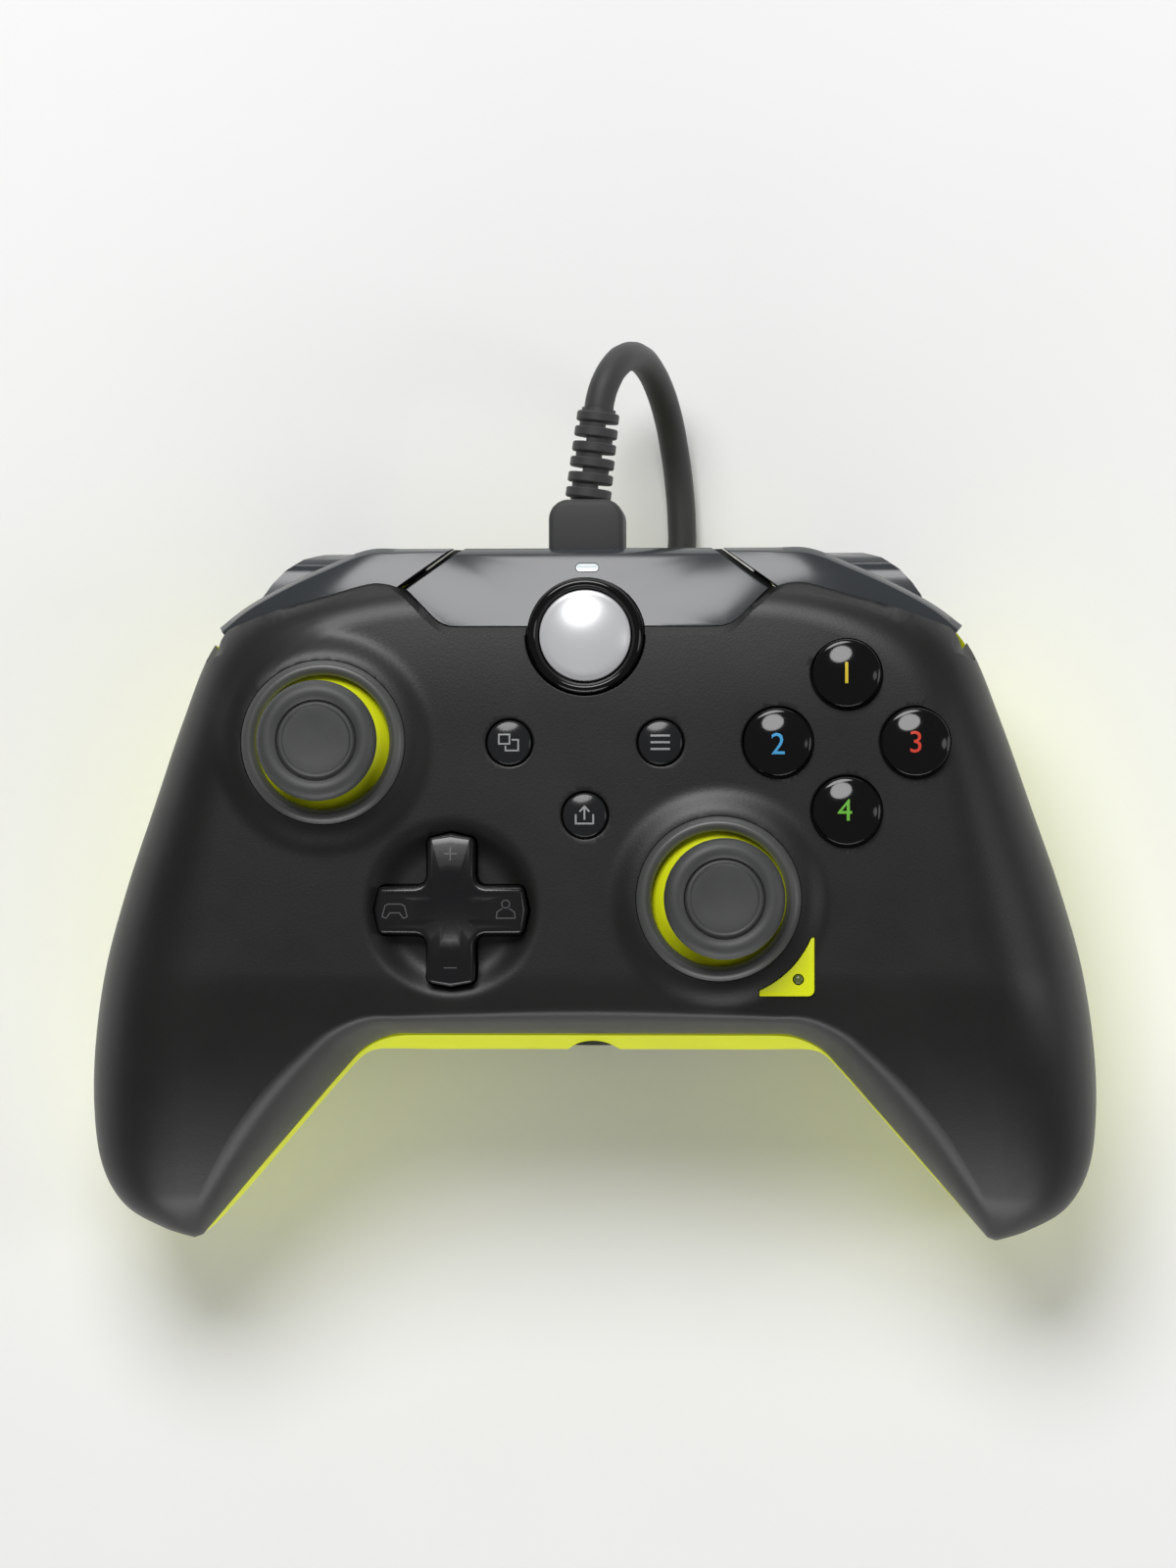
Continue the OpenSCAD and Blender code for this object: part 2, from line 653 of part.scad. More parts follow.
arch_in = 5.2;
arch_out = 6.4;
shaft_r = 1.6;
module lower_rocker(side) {
  color([0.30, 0.30, 0.32]) stick_lean(side) translate([0, 0, pivot_z]) difference() {
    union() {
      intersection() {
        rotate([0, 90, 0]) translate([0, 0, -2.7]) difference() {
          cylinder(r = arch_out, h = 5.4);
          translate([0, 0, -1]) cylinder(r = arch_in, h = 8);
        }
        translate([-5, -8, -0.01]) cube([10, 16, 10]);
      }
      for (s = [-1, 1]) scale([1, s, 1]) translate([0, arch_in, 0]) rotate([-90, 0, 0]) {
        cylinder(r = 2.7, h = arch_out - arch_in);
        cylinder(r = axle_r, h = cage + 1.4 - arch_in);
      }
    }
    translate([-shaft_r - 0.15, -3.9, 0]) cube([2 * shaft_r + 0.3, 7.8, 10]);
  }
}
module left_lower_rocker() lower_rocker(-1);
module right_lower_rocker() lower_rocker(1);

module cross_pin(side) {
  color(steel) stick_place(side) translate([0, 3.9, pivot_z]) rotate([90, 0, 0]) cylinder(r = 0.75, h = 7.8);
}
module left_cross_pin() cross_pin(-1);
module right_cross_pin() cross_pin(1);

press = 0.5;
module stick_shaft(side) {
  color([0.86, 0.86, 0.84]) stick_lean(side) difference() {
    union() {
      translate([0, 0, pivot_z - 1.5]) cylinder(r = shaft_r, h = cap_z - 4.4 - pivot_z + 1.5);
      translate([-1.6, -1.6, pivot_z - 2.4]) cube([3.2, 3.2, 4.2]);
    }
    hull() for (z = [0, press]) translate([0, 0, pivot_z + z]) rotate([90, 0, 0]) translate([0, 0, -3])
      cylinder(r = 0.8, h = 6, $fn = 32);
  }
}
module left_stick_shaft() stick_shaft(-1);
module right_stick_shaft() stick_shaft(1);

skirt_t = 1.1;
skirt_reach = 59;
module stick_skirt(side) {
  color(lime) stick_lean(side) translate([0, 0, pivot_z]) difference() {
    rotate_extrude($fn = 96) intersection() {
      difference() {
        circle(r = skirt_r, $fn = 180);
        circle(r = skirt_r - skirt_t, $fn = 180);
      }
      polygon([[0, 0], [30 * sin(skirt_reach), 30 * cos(skirt_reach)], [30, 40], [0, 40]]);
    }
    cylinder(r = shaft_r + 0.05, h = 30);
  }
}
module left_stick_skirt() stick_skirt(-1);
module right_stick_skirt() stick_skirt(1);

// Rubber cap: neck, underside, rounded rim, groove, inner ring and shallow dish
module stick_cap(side) {
  rim = 1.75;
  neck = 4;
  color(rubber_grey) stick_lean(side) difference() {
    rotate_extrude($fn = 96) union() {
      polygon([
        [0, pivot_z + skirt_r + 0.1], [neck, pivot_z + skirt_r - 0.45], [neck, cap_z - 4.2],
        [cap_r - 1.4, cap_z - 3.6], [cap_r - 1.4, cap_z - 1.2], [5.3, cap_z - 1.2], [5.1, cap_z - 0.7],
        [0, cap_z - 0.7]
      ]);
      translate([cap_r - rim, cap_z - rim]) circle(r = rim, $fn = 48);
      translate([5.35, cap_z - 1.1]) circle(r = 0.55, $fn = 24);
    }
    translate([0, 0, pivot_z]) cylinder(r = shaft_r + 0.05, h = cap_z - 4.3 - pivot_z);
    translate([0, 0, pivot_z]) sphere(r = skirt_r + 0.05, $fn = 96);
  }
}
module left_stick_cap() stick_cap(-1);
module right_stick_cap() stick_cap(1);

// Lime inlay and its lamp
lamp_at = [right_stick_x + 11.8, right_stick_y - 12];
module accent_inlay() {
  color(lime) difference() {
    translate([0, 0, face_z - inlay_t + 0.05]) linear_extrude(inlay_t + 0.25) inlay_plan();
    translate([lamp_at[0], lamp_at[1], face_z - 5]) cylinder(r = 0.8, h = 10);
  }
}
module inlay_lamp() {
  color([0.15, 0.35, 0.12]) translate([lamp_at[0], lamp_at[1], face_z - inlay_t + 0.05])
    cylinder(r = 0.7, h = inlay_t - 0.05);
}

// Rear casing with its trigger bays
bay_in = 29.5;
bay_out = 51.6;
bay_y = 37.4;
bay_top = 60;
bay_wall = 1.4;
port_z = board_z + 1.6;
block_h = 9.6;
module bay_side(grow = 0) {
  offset(delta = grow) polygon([
    [70, bay_top], [bay_y, bay_top], [bay_y, board_z - 2.5], [28.5, 4], [28.5, -12], [70, -12]
  ]);
}
module bays(grow = 0) {
  both_sides() translate([bay_in - grow, 0, 0]) rotate([90, 0, 90])
    linear_extrude(bay_out - bay_in + 2 * grow) bay_side(grow);
}

// Heel that the front end rests on, beside each trigger
module heels(inset) {
  r = 5.5 - inset;
  both_sides() intersection() {
    hull() {
      translate([53, 16, 5]) sphere(r = r, $fn = 14);
      translate([52, 27, 5]) sphere(r = r, $fn = 14);
      translate([60, -8, 17]) sphere(r = r + 5, $fn = 14);
      translate([51, 12, 25]) sphere(r = r + 4, $fn = 14);
      translate([49, 33, 28]) sphere(r = r + 4, $fn = 14);
    }
    translate([0, -50, inset]) cube([100, 120, 30]);
  }
}

module rear_shell() {
  color(lime) difference() {
    union() {
      difference() {
        union() {
          rear_body(0);
          heels(0);
        }
        above_parting(-0.15);
        rear_body(wall, 9);
        heels(wall);
      }
      difference() {
        intersection() {
          face_body(wall / 2);
          above_parting(-2);
        }
        above_parting(1.4);
        face_body(wall);
        translate([0, 0, -10]) linear_extrude(100) difference() {
          square(300, center = true);
          edge_plan(2 * wall + 1);
        }
      }
      intersection() {
        union() {
          rear_body(wall / 2);
          heels(wall / 2);
        }
        union() {
          boss_posts(0, boss_join, boss_r);
          boss_gussets(0, boss_join - 6, boss_r + 3);
          difference() {
            bays(bay_wall);
            above_parting(-gap);
          }
          both_sides() motor_cradle();
          for (s = [1, -1]) for (y = [-8, 14]) hull() {
            translate([s * 34, y, 0]) cube([1, 1.2, board_z - board_t - gap]);
            translate([s * 34 - 3, y, 0]) cube([7, 1.2, belly_z + 4]);
          }
        }
      }
    }
    bays();
    for (s = screws) translate([s[0], s[1], 0]) {
      translate([0, 0, -5]) cylinder(r = head_r + 0.4, h = s[2] + 5 + head_h + 0.2, $fn = 32);
      translate([0, 0, -5]) cylinder(r = screw_r + 0.15, h = 60, $fn = 24);
    }
    rear_top_cut();
    translate([0, -18, jack_z]) rotate([90, 0, 0]) cylinder(r = jack_body_r + gap, h = 12, $fn = 32);
    both_sides() translate([bay_in - bay_wall - 1, trigger_y, trigger_z]) rotate([0, 90, 0])
      cylinder(r = pin_r + 0.1, h = bay_out - bay_in + bay_wall + 2.2, $fn = 20);
  }
}

// The rear casing stops behind the centre panel
module rear_top_cut() {
  translate([-bay_in + bay_wall, panel_front - 5.6, panel_low_z - 1]) cube([2 * (bay_in - bay_wall), 20, 40]);
  both_sides() translate([bay_in - bay_wall - 1, 46.4, frame_z - gap]) cube([10, 20, 20]);
  for (s = [1, -1]) intersection() {
    bumper_pocket(s);
    translate([-100, 0, bumper_low - 3.1]) cube([200, 100, 20]);
  }
}

module shell_screws() {
  color(steel) for (s = screws) translate([s[0], s[1], s[2] + 0.1]) difference() {
    union() {
      cylinder(r = head_r, h = head_h);
      cylinder(r = screw_r, h = face_height(s[0], s[1]) - wall - 1.6 - s[2]);
    }
    translate([-0.4, -1.4, -1]) cube([0.8, 2.8, 1.8]);
    translate([-1.4, -0.4, -1]) cube([2.8, 0.8, 1.8]);
  }
}

// Plan of a bumper: inner edge, which slides below the front shell's lip, and outer edge
bumper_inner = [
  [29.4, 45.5], [31, 45.9], [33, 45.9], [35, 45.4], [41, 43.3], [47, 41.1], [52, 39.3], [54.6, 38.2]
];
bumper_outer = [
  [20.4, 52.1], [24, 52.1], [28, 52.1], [33.5, 52.0], [40, 49.5], [46, 46.8], [52, 43.6], [56.4, 40.4]
];
bumper_low = 38.9;
bumper_wall = 1.8;
bumper_pin = [29.2, 48.5];
bumper_sections = 11;
boss_z = bumper_low + 0.6;
function bumper_z(p) = panel_z(p[1]) - 6.5 * pow(max(p[0] - 27, 0) / 29, 2);

function bumper_ring(t, inset) =
  let (
    a0 = curve(bumper_inner, t), b0 = curve(bumper_outer, t), dir = (b0 - a0) / norm(b0 - a0),
    a = a0 + dir * inset, b = b0 - dir * inset, c = b - dir * min(1.0, 0.4 * norm(b - a)),
    d = b - dir * min(1.6, 0.5 * norm(b - a)), deep = inset > 0 ? 8 : 0
  )
  [
    [a[0], a[1], bumper_z(a) - inset], [c[0], c[1], bumper_z(c) - inset],
    [b[0], b[1], bumper_z(b) - 1.7 - inset],
    [b[0], b[1], bumper_low - 2.4 - deep], [d[0], d[1], bumper_low - 2.8 - deep],
    [a[0], a[1], bumper_low - deep]
  ];

// The room that a bumper needs, pressed or not
function pocket_ring(t) =
  let (
    a0 = curve(bumper_inner, t), b0 = curve(bumper_outer, t), dir = (b0 - a0) / norm(b0 - a0),
    k = t / 7, a = a0 - [0, 0.35 + 1.5 * k], b = b0 + dir * 3 + [0.8 * k, 0]
  )
  [
    [a[0], a[1], bumper_z(a0) + 0.4], [b[0], b[1], bumper_z(b0) + 0.7], [b[0], b[1], 20], [a[0], a[1], 20]
  ];

module bumper_pocket(s) {
  rings = [for (k = [-1:bumper_sections])
    let (r = pocket_ring(7 * clamp(k, 0, bumper_sections - 1) / (bumper_sections - 1)))
    [for (p = r) p + (k < 0 ? [-1.2, 0.9, 0] : k >= bumper_sections ? [2.5, -1.2, 0] : [0, 0, 0])]];
  scale([s, 1, 1]) skin(rings);
}

// Stiffening ribs across the bumper's hollow
module bumper_ribs() {
  for (t = [2.3:0.55:6.2]) hull() for (p = [curve(bumper_inner, t), curve(bumper_outer, t)])
    translate([p[0], p[1], bumper_low + 1.5]) cube([0.7, 0.1, 10]);
}

module bumper(s) {
  color(gloss) scale([s, 1, 1]) difference() {
    skin([for (k = [0:bumper_sections - 1]) bumper_ring(7 * k / (bumper_sections - 1), 0)]);
    difference() {
      skin([for (k = [0:bumper_sections - 1])
        bumper_ring(0.5 + 6.2 * k / (bumper_sections - 1), bumper_wall)]);
      translate([bumper_pin[0], bumper_pin[1], boss_z]) cylinder(r = 2.5, h = 10, $fn = 24);
      bumper_ribs();
    }
    translate([bumper_pin[0], bumper_pin[1], 20]) cylinder(r = 2.3, h = boss_z - 20.05, $fn = 32);
    translate([bumper_pin[0], bumper_pin[1], 21])
      cylinder(r = pin_r + pin_gap, h = bumper_low + 3.6 - 21, $fn = 40);
  }
}
module left_bumper() bumper(-1);
module right_bumper() bumper(1);

// Triggers
trigger_y = 41.5;
trigger_z = board_z;
trigger_in = 31;
trigger_out = bay_out - 0.8;
hub_r = 3.4;
// Side view of a trigger, measured from its pin: hub, front, tip and back
trigger_side = [
  [0, 3.4], [5.5, 3.6], [8.8, 2.4], [10.4, -0.8], [10.7, -5], [10, -10.5], [9.4, -16], [10, -22], [10.9, -26],
  [10.2, -28], [8.4, -27.6], [6, -23], [3.6, -16.5], [1.2, -9], [-1.6, -5], [-3.2, -1.6]
];
// Its hollow, open towards the back
trigger_hollow = [
  [0.5, -4.2], [8.2, -3.6], [8.7, -5.5], [8, -10.5], [7.4, -16], [7.8, -21.5], [5.5, -22.4],
  [-6, -22.4], [-6, -5.5]
];
function closed_curve(p, per) =
  let (n = len(p))
  [for (k = [0:n * per - 1]) let (
      t = k / per, i = floor(t), f = t - i, a = p[(i + n - 1) % n], b = p[i % n], c = p[(i + 1) % n],
      d = p[(i + 2) % n]
    )
    0.5 * (2 * b + (c - a) * f + (2 * a - 5 * b + 4 * c - d) * f * f + (3 * b - a - 3 * c + d) * f * f * f)];

trigger_plan = [
  [trigger_in, 30], [trigger_out, 30], [trigger_out, 43.5], [trigger_out - 0.6, 45.3],
  [trigger_out - 2, 47.3], [trigger_out - 4, 49.4], [trigger_out - 6.6, 51.2], [trigger_out - 9.8, 52.2],
  [trigger_in, 52.6]
];

module trigger(s) {
  length = trigger_out - trigger_in;
  color(gloss) scale([s, 1, 1]) difference() {
    union() {
      intersection() {
        translate([trigger_in, trigger_y, trigger_z]) rotate([90, 0, 90])
          linear_extrude(length) difference() {
          polygon(closed_curve(trigger_side, 3));
          circle(r = hub_r - 0.2);
        }
        linear_extrude(60) polygon(trigger_plan);
      }
      translate([trigger_in, trigger_y, trigger_z]) rotate([0, 90, 0]) cylinder(r = hub_r, h = length);
    }
    translate([trigger_in + 1.8, trigger_y, trigger_z]) rotate([90, 0, 90])
      linear_extrude(length - 8.6) polygon(trigger_hollow);
    translate([trigger_in - 1, trigger_y, trigger_z]) rotate([0, 90, 0])
      cylinder(r = pin_r + pin_gap, h = length + 2);
    translate([spring_x - 0.3, trigger_y, trigger_z]) rotate([0, 90, 0])
      cylinder(r = hub_r - 0.6, h = spring_l + 0.6);
    translate([spring_x - 0.3, trigger_y - 8, trigger_z - 6]) cube([spring_l + 0.6, 8, 6]);
  }
}
module left_trigger() trigger(-1);
module right_trigger() trigger(1);

spring_x = trigger_in + 2.4;
spring_l = 3;
wire_r = 0.3;
spring_r = 2;
spring_leg = 3.6;
module trigger_spring(s) {
  color(steel) scale([s, 1, 1]) translate([spring_x, trigger_y, trigger_z]) rotate([0, 90, 0]) {
    for (k = [0:3]) translate([0, 0, wire_r + k * 0.75]) rotate_extrude($fn = 48)
      translate([spring_r, 0]) circle(r = wire_r, $fn = 16);
    translate([spring_r, 0, wire_r]) rotate([90, 0, 0]) cylinder(r = wire_r, h = spring_leg, $fn = 16);
    translate([-spring_r, 0, wire_r]) cylinder(r = wire_r - 0.05, h = 2.25, $fn = 16);
  }
}
module left_trigger_spring() trigger_spring(-1);
module right_trigger_spring() trigger_spring(1);

module trigger_pins() {
  color(steel) both_sides() translate([bay_in - bay_wall + 0.2, trigger_y, trigger_z]) rotate([0, 90, 0])
    cylinder(r = pin_r, h = bay_out - bay_in + bay_wall + 0.8);
}

// Frame behind the centre panel, with a pin for each bumper
frame_z = part_z + 1.6;
module mid_frame() {
  color([0.25, 0.25, 0.26]) {
    difference() {
      translate([-26.8, 41.4, frame_z]) cube([53.6, 7.4, 2]);
      translate([-6, 45, frame_z - 1]) cube([12, 10, 4]);
      translate([-1, 41, frame_z - 1]) cube([2, 2.3, 4]);
    }
    both_sides() {
      translate([bumper_pin[0], bumper_pin[1], frame_z + 1]) {
        cylinder(r = pin_r, h = bumper_low + 3.2 - frame_z - 1);
        cylinder(r = 1.6, h = boss_z - gap - frame_z - 1);
      }
      translate([22, 42, board_z + 0.05]) cube([2, 1.8, frame_z - board_z]);
      translate([27.4, 46.8, frame_z]) cube([3.4, 2.2, 1.6]);
      translate([26, 46.8, frame_z]) cube([2, 1.6, 1.6]);
    }
  }
}

board_wide_y = 35.6;
module main_board() {
  color([0.05, 0.30, 0.16]) difference() {
    translate([0, 0, board_z - board_t]) linear_extrude(board_t) polygon([
      [-52, -8], [-44, -16.5], [44, -16.5], [52, -8], [52, 20], [48, 34], [48, board_wide_y],
      [26.6, board_wide_y],
      [26.6, 44.4], [10, 44.4], [10, 49.2], [-10, 49.2], [-10, 44.4], [-26.6, 44.4], [-26.6, board_wide_y],
      [-48, board_wide_y], [-48, 34], [-52, 20]
    ]);
    for (s = screws) translate([s[0], s[1], 0]) cylinder(r = boss_r + 0.5, h = 60);
  }
}

// Chips, the guide button's switch, the lamp below the light pipe and two wire sockets
module board_parts() {
  low = board_z + 0.05;
  switch_top = face_z - 12 - guide_travel - 0.25;
  color([0.12, 0.12, 0.13]) {
    translate([-25, 12, low]) cube([8, 8, 1.2]);
    translate([14.5, 12, low]) cube([7, 7, 1.1]);
    translate([-4, 28, low]) cube([8, 5, 1.1]);
    translate([-2.3, guide_y - 2.3, low]) cube([4.6, 4.6, 4]);
    translate([0, guide_y, low]) cylinder(r = 1.1, h = switch_top - low);
    both_sides() translate([29, 32.8, low]) cube([4, 2.4, 1.6]);
  }
  color([0.9, 0.92, 0.9]) translate([-0.8, led_y - 0.7, low]) cube([1.6, 1.3, 0.9]);
}

module usb_port() {
  color(steel) difference() {
    translate([-4.1, 43.6, board_z + 0.05]) cube([8.2, 6.2, 3.3]);
    translate([-3.7, 44.2, board_z + 0.45]) cube([7.4, 8, 2.5]);
  }
}

jack_z = board_z - board_t - 4.4;
jack_body_r = 3.9;
jack_front = -23.3;
module audio_jack() {
  color([0.1, 0.1, 0.1]) difference() {
    union() {
      translate([-5, -17.6, board_z - board_t - 8.4]) cube([10, 11, 8.2]);
      translate([0, -17.5, jack_z]) rotate([90, 0, 0]) cylinder(r = jack_body_r, h = -17.5 - jack_front);
    }
    translate([0, jack_front - 1, jack_z]) rotate([-90, 0, 0]) cylinder(r = jack_r, h = 15);
  }
}

module face_membrane() {
  color([0.55, 0.55, 0.55]) difference() {
    union() {
      for (p = face_spots) translate([p[0], p[1], board_z + 0.1]) {
        cylinder(r = 2.8, h = 1);
        cylinder(r1 = 2.7, r2 = 2.2, h = face_foot - board_z - 0.2, $fn = 40);
      }
      translate([face_group_x, face_group_y, board_z + 0.1]) for (a = [0, 90]) rotate([0, 0, a])
        translate([-face_pitch, -2, 0]) cube([2 * face_pitch, 4, 1]);
    }
    for (p = face_spots) translate([p[0], p[1], board_z - 1]) cylinder(r = 1.5, h = 4);
  }
}

module small_button_membrane() {
  color([0.55, 0.55, 0.55]) difference() {
    union() {
      for (p = small_spots) translate([p[0], p[1], board_z + 0.1])
        cylinder(r1 = 2.6, r2 = 1.8, h = small_foot - board_z - 0.2, $fn = 40);
      translate([-small_x, small_y - 1.5, board_z + 0.1]) cube([2 * small_x, 3, 1]);
      translate([-1.5, share_y, board_z + 0.1]) cube([3, small_y - share_y, 1]);
    }
    for (p = small_spots) translate([p[0], p[1], board_z - 1]) cylinder(r = 1.2, h = 3.4);
  }
}

// Rumble motors lie across the grips, each with a half-round weight on its shaft
motor_at = [58.5 * sx, -27 * sy, 22];
motor_l = 11;
module motor_cradle() {
  difference() {
    translate([motor_at[0] - 6.5, motor_at[1] + 2.5, 0]) cube([13, 6, motor_at[2] - 2]);
    translate(motor_at) rotate([-90, 0, 0]) cylinder(r = motor_r + 0.1, h = motor_l + 1, $fn = 40);
  }
}
module rumble_motor(s) {
  color(steel) scale([s, 1, 1]) translate(motor_at) rotate([90, 0, 0]) {
    translate([0, 0, -motor_l]) cylinder(r = motor_r, h = motor_l);
    cylinder(r = 2.4, h = 0.8);
    cylinder(r = 0.95, h = 6);
  }
}
module left_rumble_motor() rumble_motor(-1);
module right_rumble_motor() rumble_motor(1);

module rumble_weight(s) {
  color([0.62, 0.58, 0.5]) scale([s, 1, 1]) translate(motor_at) rotate([90, 0, 0])
    translate([0, 0, 1.2]) difference() {
    union() {
      cylinder(r = 2.2, h = 4.6);
      intersection() {
        cylinder(r = weight_r, h = 4.6);
        translate([-20, -40, -1]) cube([40, 40, 10]);
      }
    }
    translate([0, 0, -1]) cylinder(r = 1, h = 8);
  }
}
module left_rumble_weight() rumble_weight(-1);
module right_rumble_weight() rumble_weight(1);

// Plug block, strain relief and cord
block_top = 59.9;
block_x = -0.6;
module usb_plug() {
  color([0.2, 0.2, 0.2]) difference() {
    translate([block_x, 0, port_z - block_h / 2]) linear_extrude(block_h) polygon(block_outline());
    translate([block_x, block_top - 2, port_z]) rotate([-90, 0, 0]) cylinder(r = 2.9, h = 5);
  }
  color(steel) translate([-3.4, 45.2, board_z + 0.65]) cube([6.8, 5.9, 2.1]);
}
function block_outline() = concat(
  [[-block_w / 2, 50.6], [block_w / 2, 50.6]],
  [for (a = [0:15:90]) [block_w / 2 - 3 + 3 * cos(a), block_top - 3 + 3 * sin(a)]],
  [for (a = [90:15:180]) [-block_w / 2 + 3 + 3 * cos(a), block_top - 3 + 3 * sin(a)]]
);

relief_start = [block_x, block_top + 0.1, port_z];
relief_lean = 7;
relief_step = 2.35;
relief_ribs = 6;
module strain_relief() {
  color([0.2, 0.2, 0.2]) translate(relief_start) rotate([-90, 0, -relief_lean]) {
    translate([0, 0, -1.6]) cylinder(r = 2.5, h = 1.7);
    difference() {
      union() {
        cylinder(r1 = 2.75, r2 = 2.6, h = relief_ribs * relief_step);
        for (k = [0:relief_ribs - 1]) translate([0, 0, k * relief_step + 0.3])
          cylinder(r = 3.5 - 0.05 * k, h = relief_step - 0.85);
      }
      for (k = [0:relief_ribs - 2]) translate([k % 2 == 0 ? 1.2 : -4.4, -4.5, (k + 1) * relief_step - 0.55])
        cube([3.2, 9, 0.85]);
      translate([0, 0, relief_ribs * relief_step - 1.2]) cylinder(r = cord_d / 2 + 0.02, h = 3);
    }
  }
}

// Points of the cord from the strain relief to the coil, and from the coil to the far plug
cord_out = [
  [1, 73, 32.6], [1.3, 75.4, 32.6], [2.3, 78.6, 32], [3.7, 81.2, 29.8], [5.2, 82.7, 26.2], [6.6, 83, 21.8],
  [8, 81.9, 16.9], [9.4, 79.2, 12], [10.6, 75.2, 8], [11.5, 70.2, 5.2], [12.2, 64.6, 3.6], [12.6, 58.4, 3.25],
  [12.5, 54, 3.25], [11.4, 50.6, 3.25], [7.5, 48.6, 3.25], [2, 47.9, 3.25], [-4, 46.6, 3.25]
];
cord_in = [
  [-28.8, 11, 3.25], [-28.8, 5, 3.25], [-28.7, -1, 3.2], [-29.6, -7, 3.1], [-32.4, -11, 3.1],
  [-36, -11.4, 3.3],
  [-38.2, -8.4, 3.7], [-38.6, -5, 4], [-38.6, -2.4, 4]
];
function frame_at(p, t) =
  let (
    d0 = curve(p, min(t + 0.05, len(p) - 1)) - curve(p, max(t - 0.05, 0)), d = d0 / norm(d0),
    side0 = cross(d, [0.3, 0.1, 1]), side = side0 / norm(side0)
  )
  [side, cross(side, d)];
module tube(p, per) {
  n = (len(p) - 1) * per;
  skin([for (k = [0:n]) let (t = k / per, c = curve(p, t), f = frame_at(p, t))
    [for (j = [0:9]) c + cord_d / 2 * (cos(36 * j) * f[0] + sin(36 * j) * f[1])]]);
}
module cord() {
  color([0.2, 0.2, 0.2]) {
    tube(cord_out, 2);
    tube(cord_in, 2);
  }
}

coil_at = [7.5, 11.7];
coil_turns = 5;
coil_layers = 3;
tie_t = 0.9;
module cord_coil() {
  half = coil_turns * cord_d / 2;
  color([0.2, 0.2, 0.2]) translate([coil_at[0], coil_at[1], tie_t + 0.1]) rotate_extrude($fn = 96) polygon([
    [coil_d / 2 - half, 1.5], [coil_d / 2 - half + 1.5, 0], [coil_d / 2 + half - 1.5, 0],
    [coil_d / 2 + half, 1.5],
    [coil_d / 2 + half, coil_layers * cord_d - 1.5], [coil_d / 2 + half - 1.5, coil_layers * cord_d],
    [coil_d / 2 - half + 1.5, coil_layers * cord_d], [coil_d / 2 - half, coil_layers * cord_d - 1.5]
  ]);
}

module cord_tie() {
  w = coil_turns * cord_d + 0.8;
  h = coil_layers * cord_d + 0.2;
  color([0.1, 0.1, 0.1]) translate([coil_at[0], coil_at[1], 0]) rotate([0, 0, -50])
    translate([coil_d / 2, 2, 0]) rotate([90, 0, 0]) linear_extrude(4) difference() {
      translate([-w / 2 - tie_t, 0]) square([w + 2 * tie_t, h + 2 * tie_t]);
      translate([-w / 2, tie_t]) square([w, h]);
    }
}

// Plug at the far end
far_at = [-38.6, -3];
far_w = 14.4;
far_h = 7.8;
far_l = 24;
module usb_a_plug() {
  color([0.2, 0.2, 0.2]) translate([far_at[0], far_at[1], 0]) difference() {
    linear_extrude(far_h) polygon([
      [-5, 0], [5, 0], [far_w / 2, 6], [far_w / 2, far_l], [-far_w / 2, far_l], [-far_w / 2, 6]
    ]);
    translate([0, -1, 4]) rotate([-90, 0, 0]) cylinder(r = cord_d / 2 + 0.02, h = 2.5);
    translate([-5, far_l - 5, far_h / 2 - 1.3]) cube([10, 6, 2.6]);
  }
}

module usb_a_shell() {
  color(steel) translate([far_at[0], far_at[1], far_h / 2 - 2.25]) difference() {
    union() {
      translate([-6, far_l + 0.05, 0]) cube([12, 12, 4.5]);
      translate([-4.8, far_l - 4.8, 1.1]) cube([9.6, 5, 2.3]);
    }
    translate([-5.6, far_l + 3, 0.4]) cube([11.2, 12, 1.9]);
  }
}

front_shell();
rear_shell();
centre_panel();
guide_ring();
light_pipe();
left_stick_ring();
right_stick_ring();
accent_inlay();
inlay_lamp();
mid_frame();
main_board();
board_parts();
usb_port();
audio_jack();
face_membrane();
dpad_membrane();
small_button_membrane();
left_rumble_motor();
right_rumble_motor();
left_rumble_weight();
right_rumble_weight();
trigger_pins();
left_trigger_spring();
right_trigger_spring();
shell_screws();
left_bumper();
right_bumper();
left_trigger();
right_trigger();
guide_button();
view_button();
menu_button();
share_button();
face_button_1();
face_button_2();
face_button_3();
face_button_4();
dpad_pivot();
dpad();
left_stick_module();
left_upper_rocker();
left_lower_rocker();
left_cross_pin();
left_stick_shaft();
left_stick_skirt();
left_stick_cap();
right_stick_module();
right_upper_rocker();
right_lower_rocker();
right_cross_pin();
right_stick_shaft();
right_stick_skirt();
right_stick_cap();
usb_plug();
strain_relief();
cord();
cord_coil();
cord_tie();
usb_a_plug();
usb_a_shell();
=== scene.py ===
"""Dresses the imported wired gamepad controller: fine shells, keys, sticks, cord and finishes."""

from __future__ import annotations

import logging
import math
from collections.abc import Callable, Iterable, Sequence
from dataclasses import dataclass, field
from enum import Enum

import bmesh
import bpy
from mathutils import Matrix, Vector


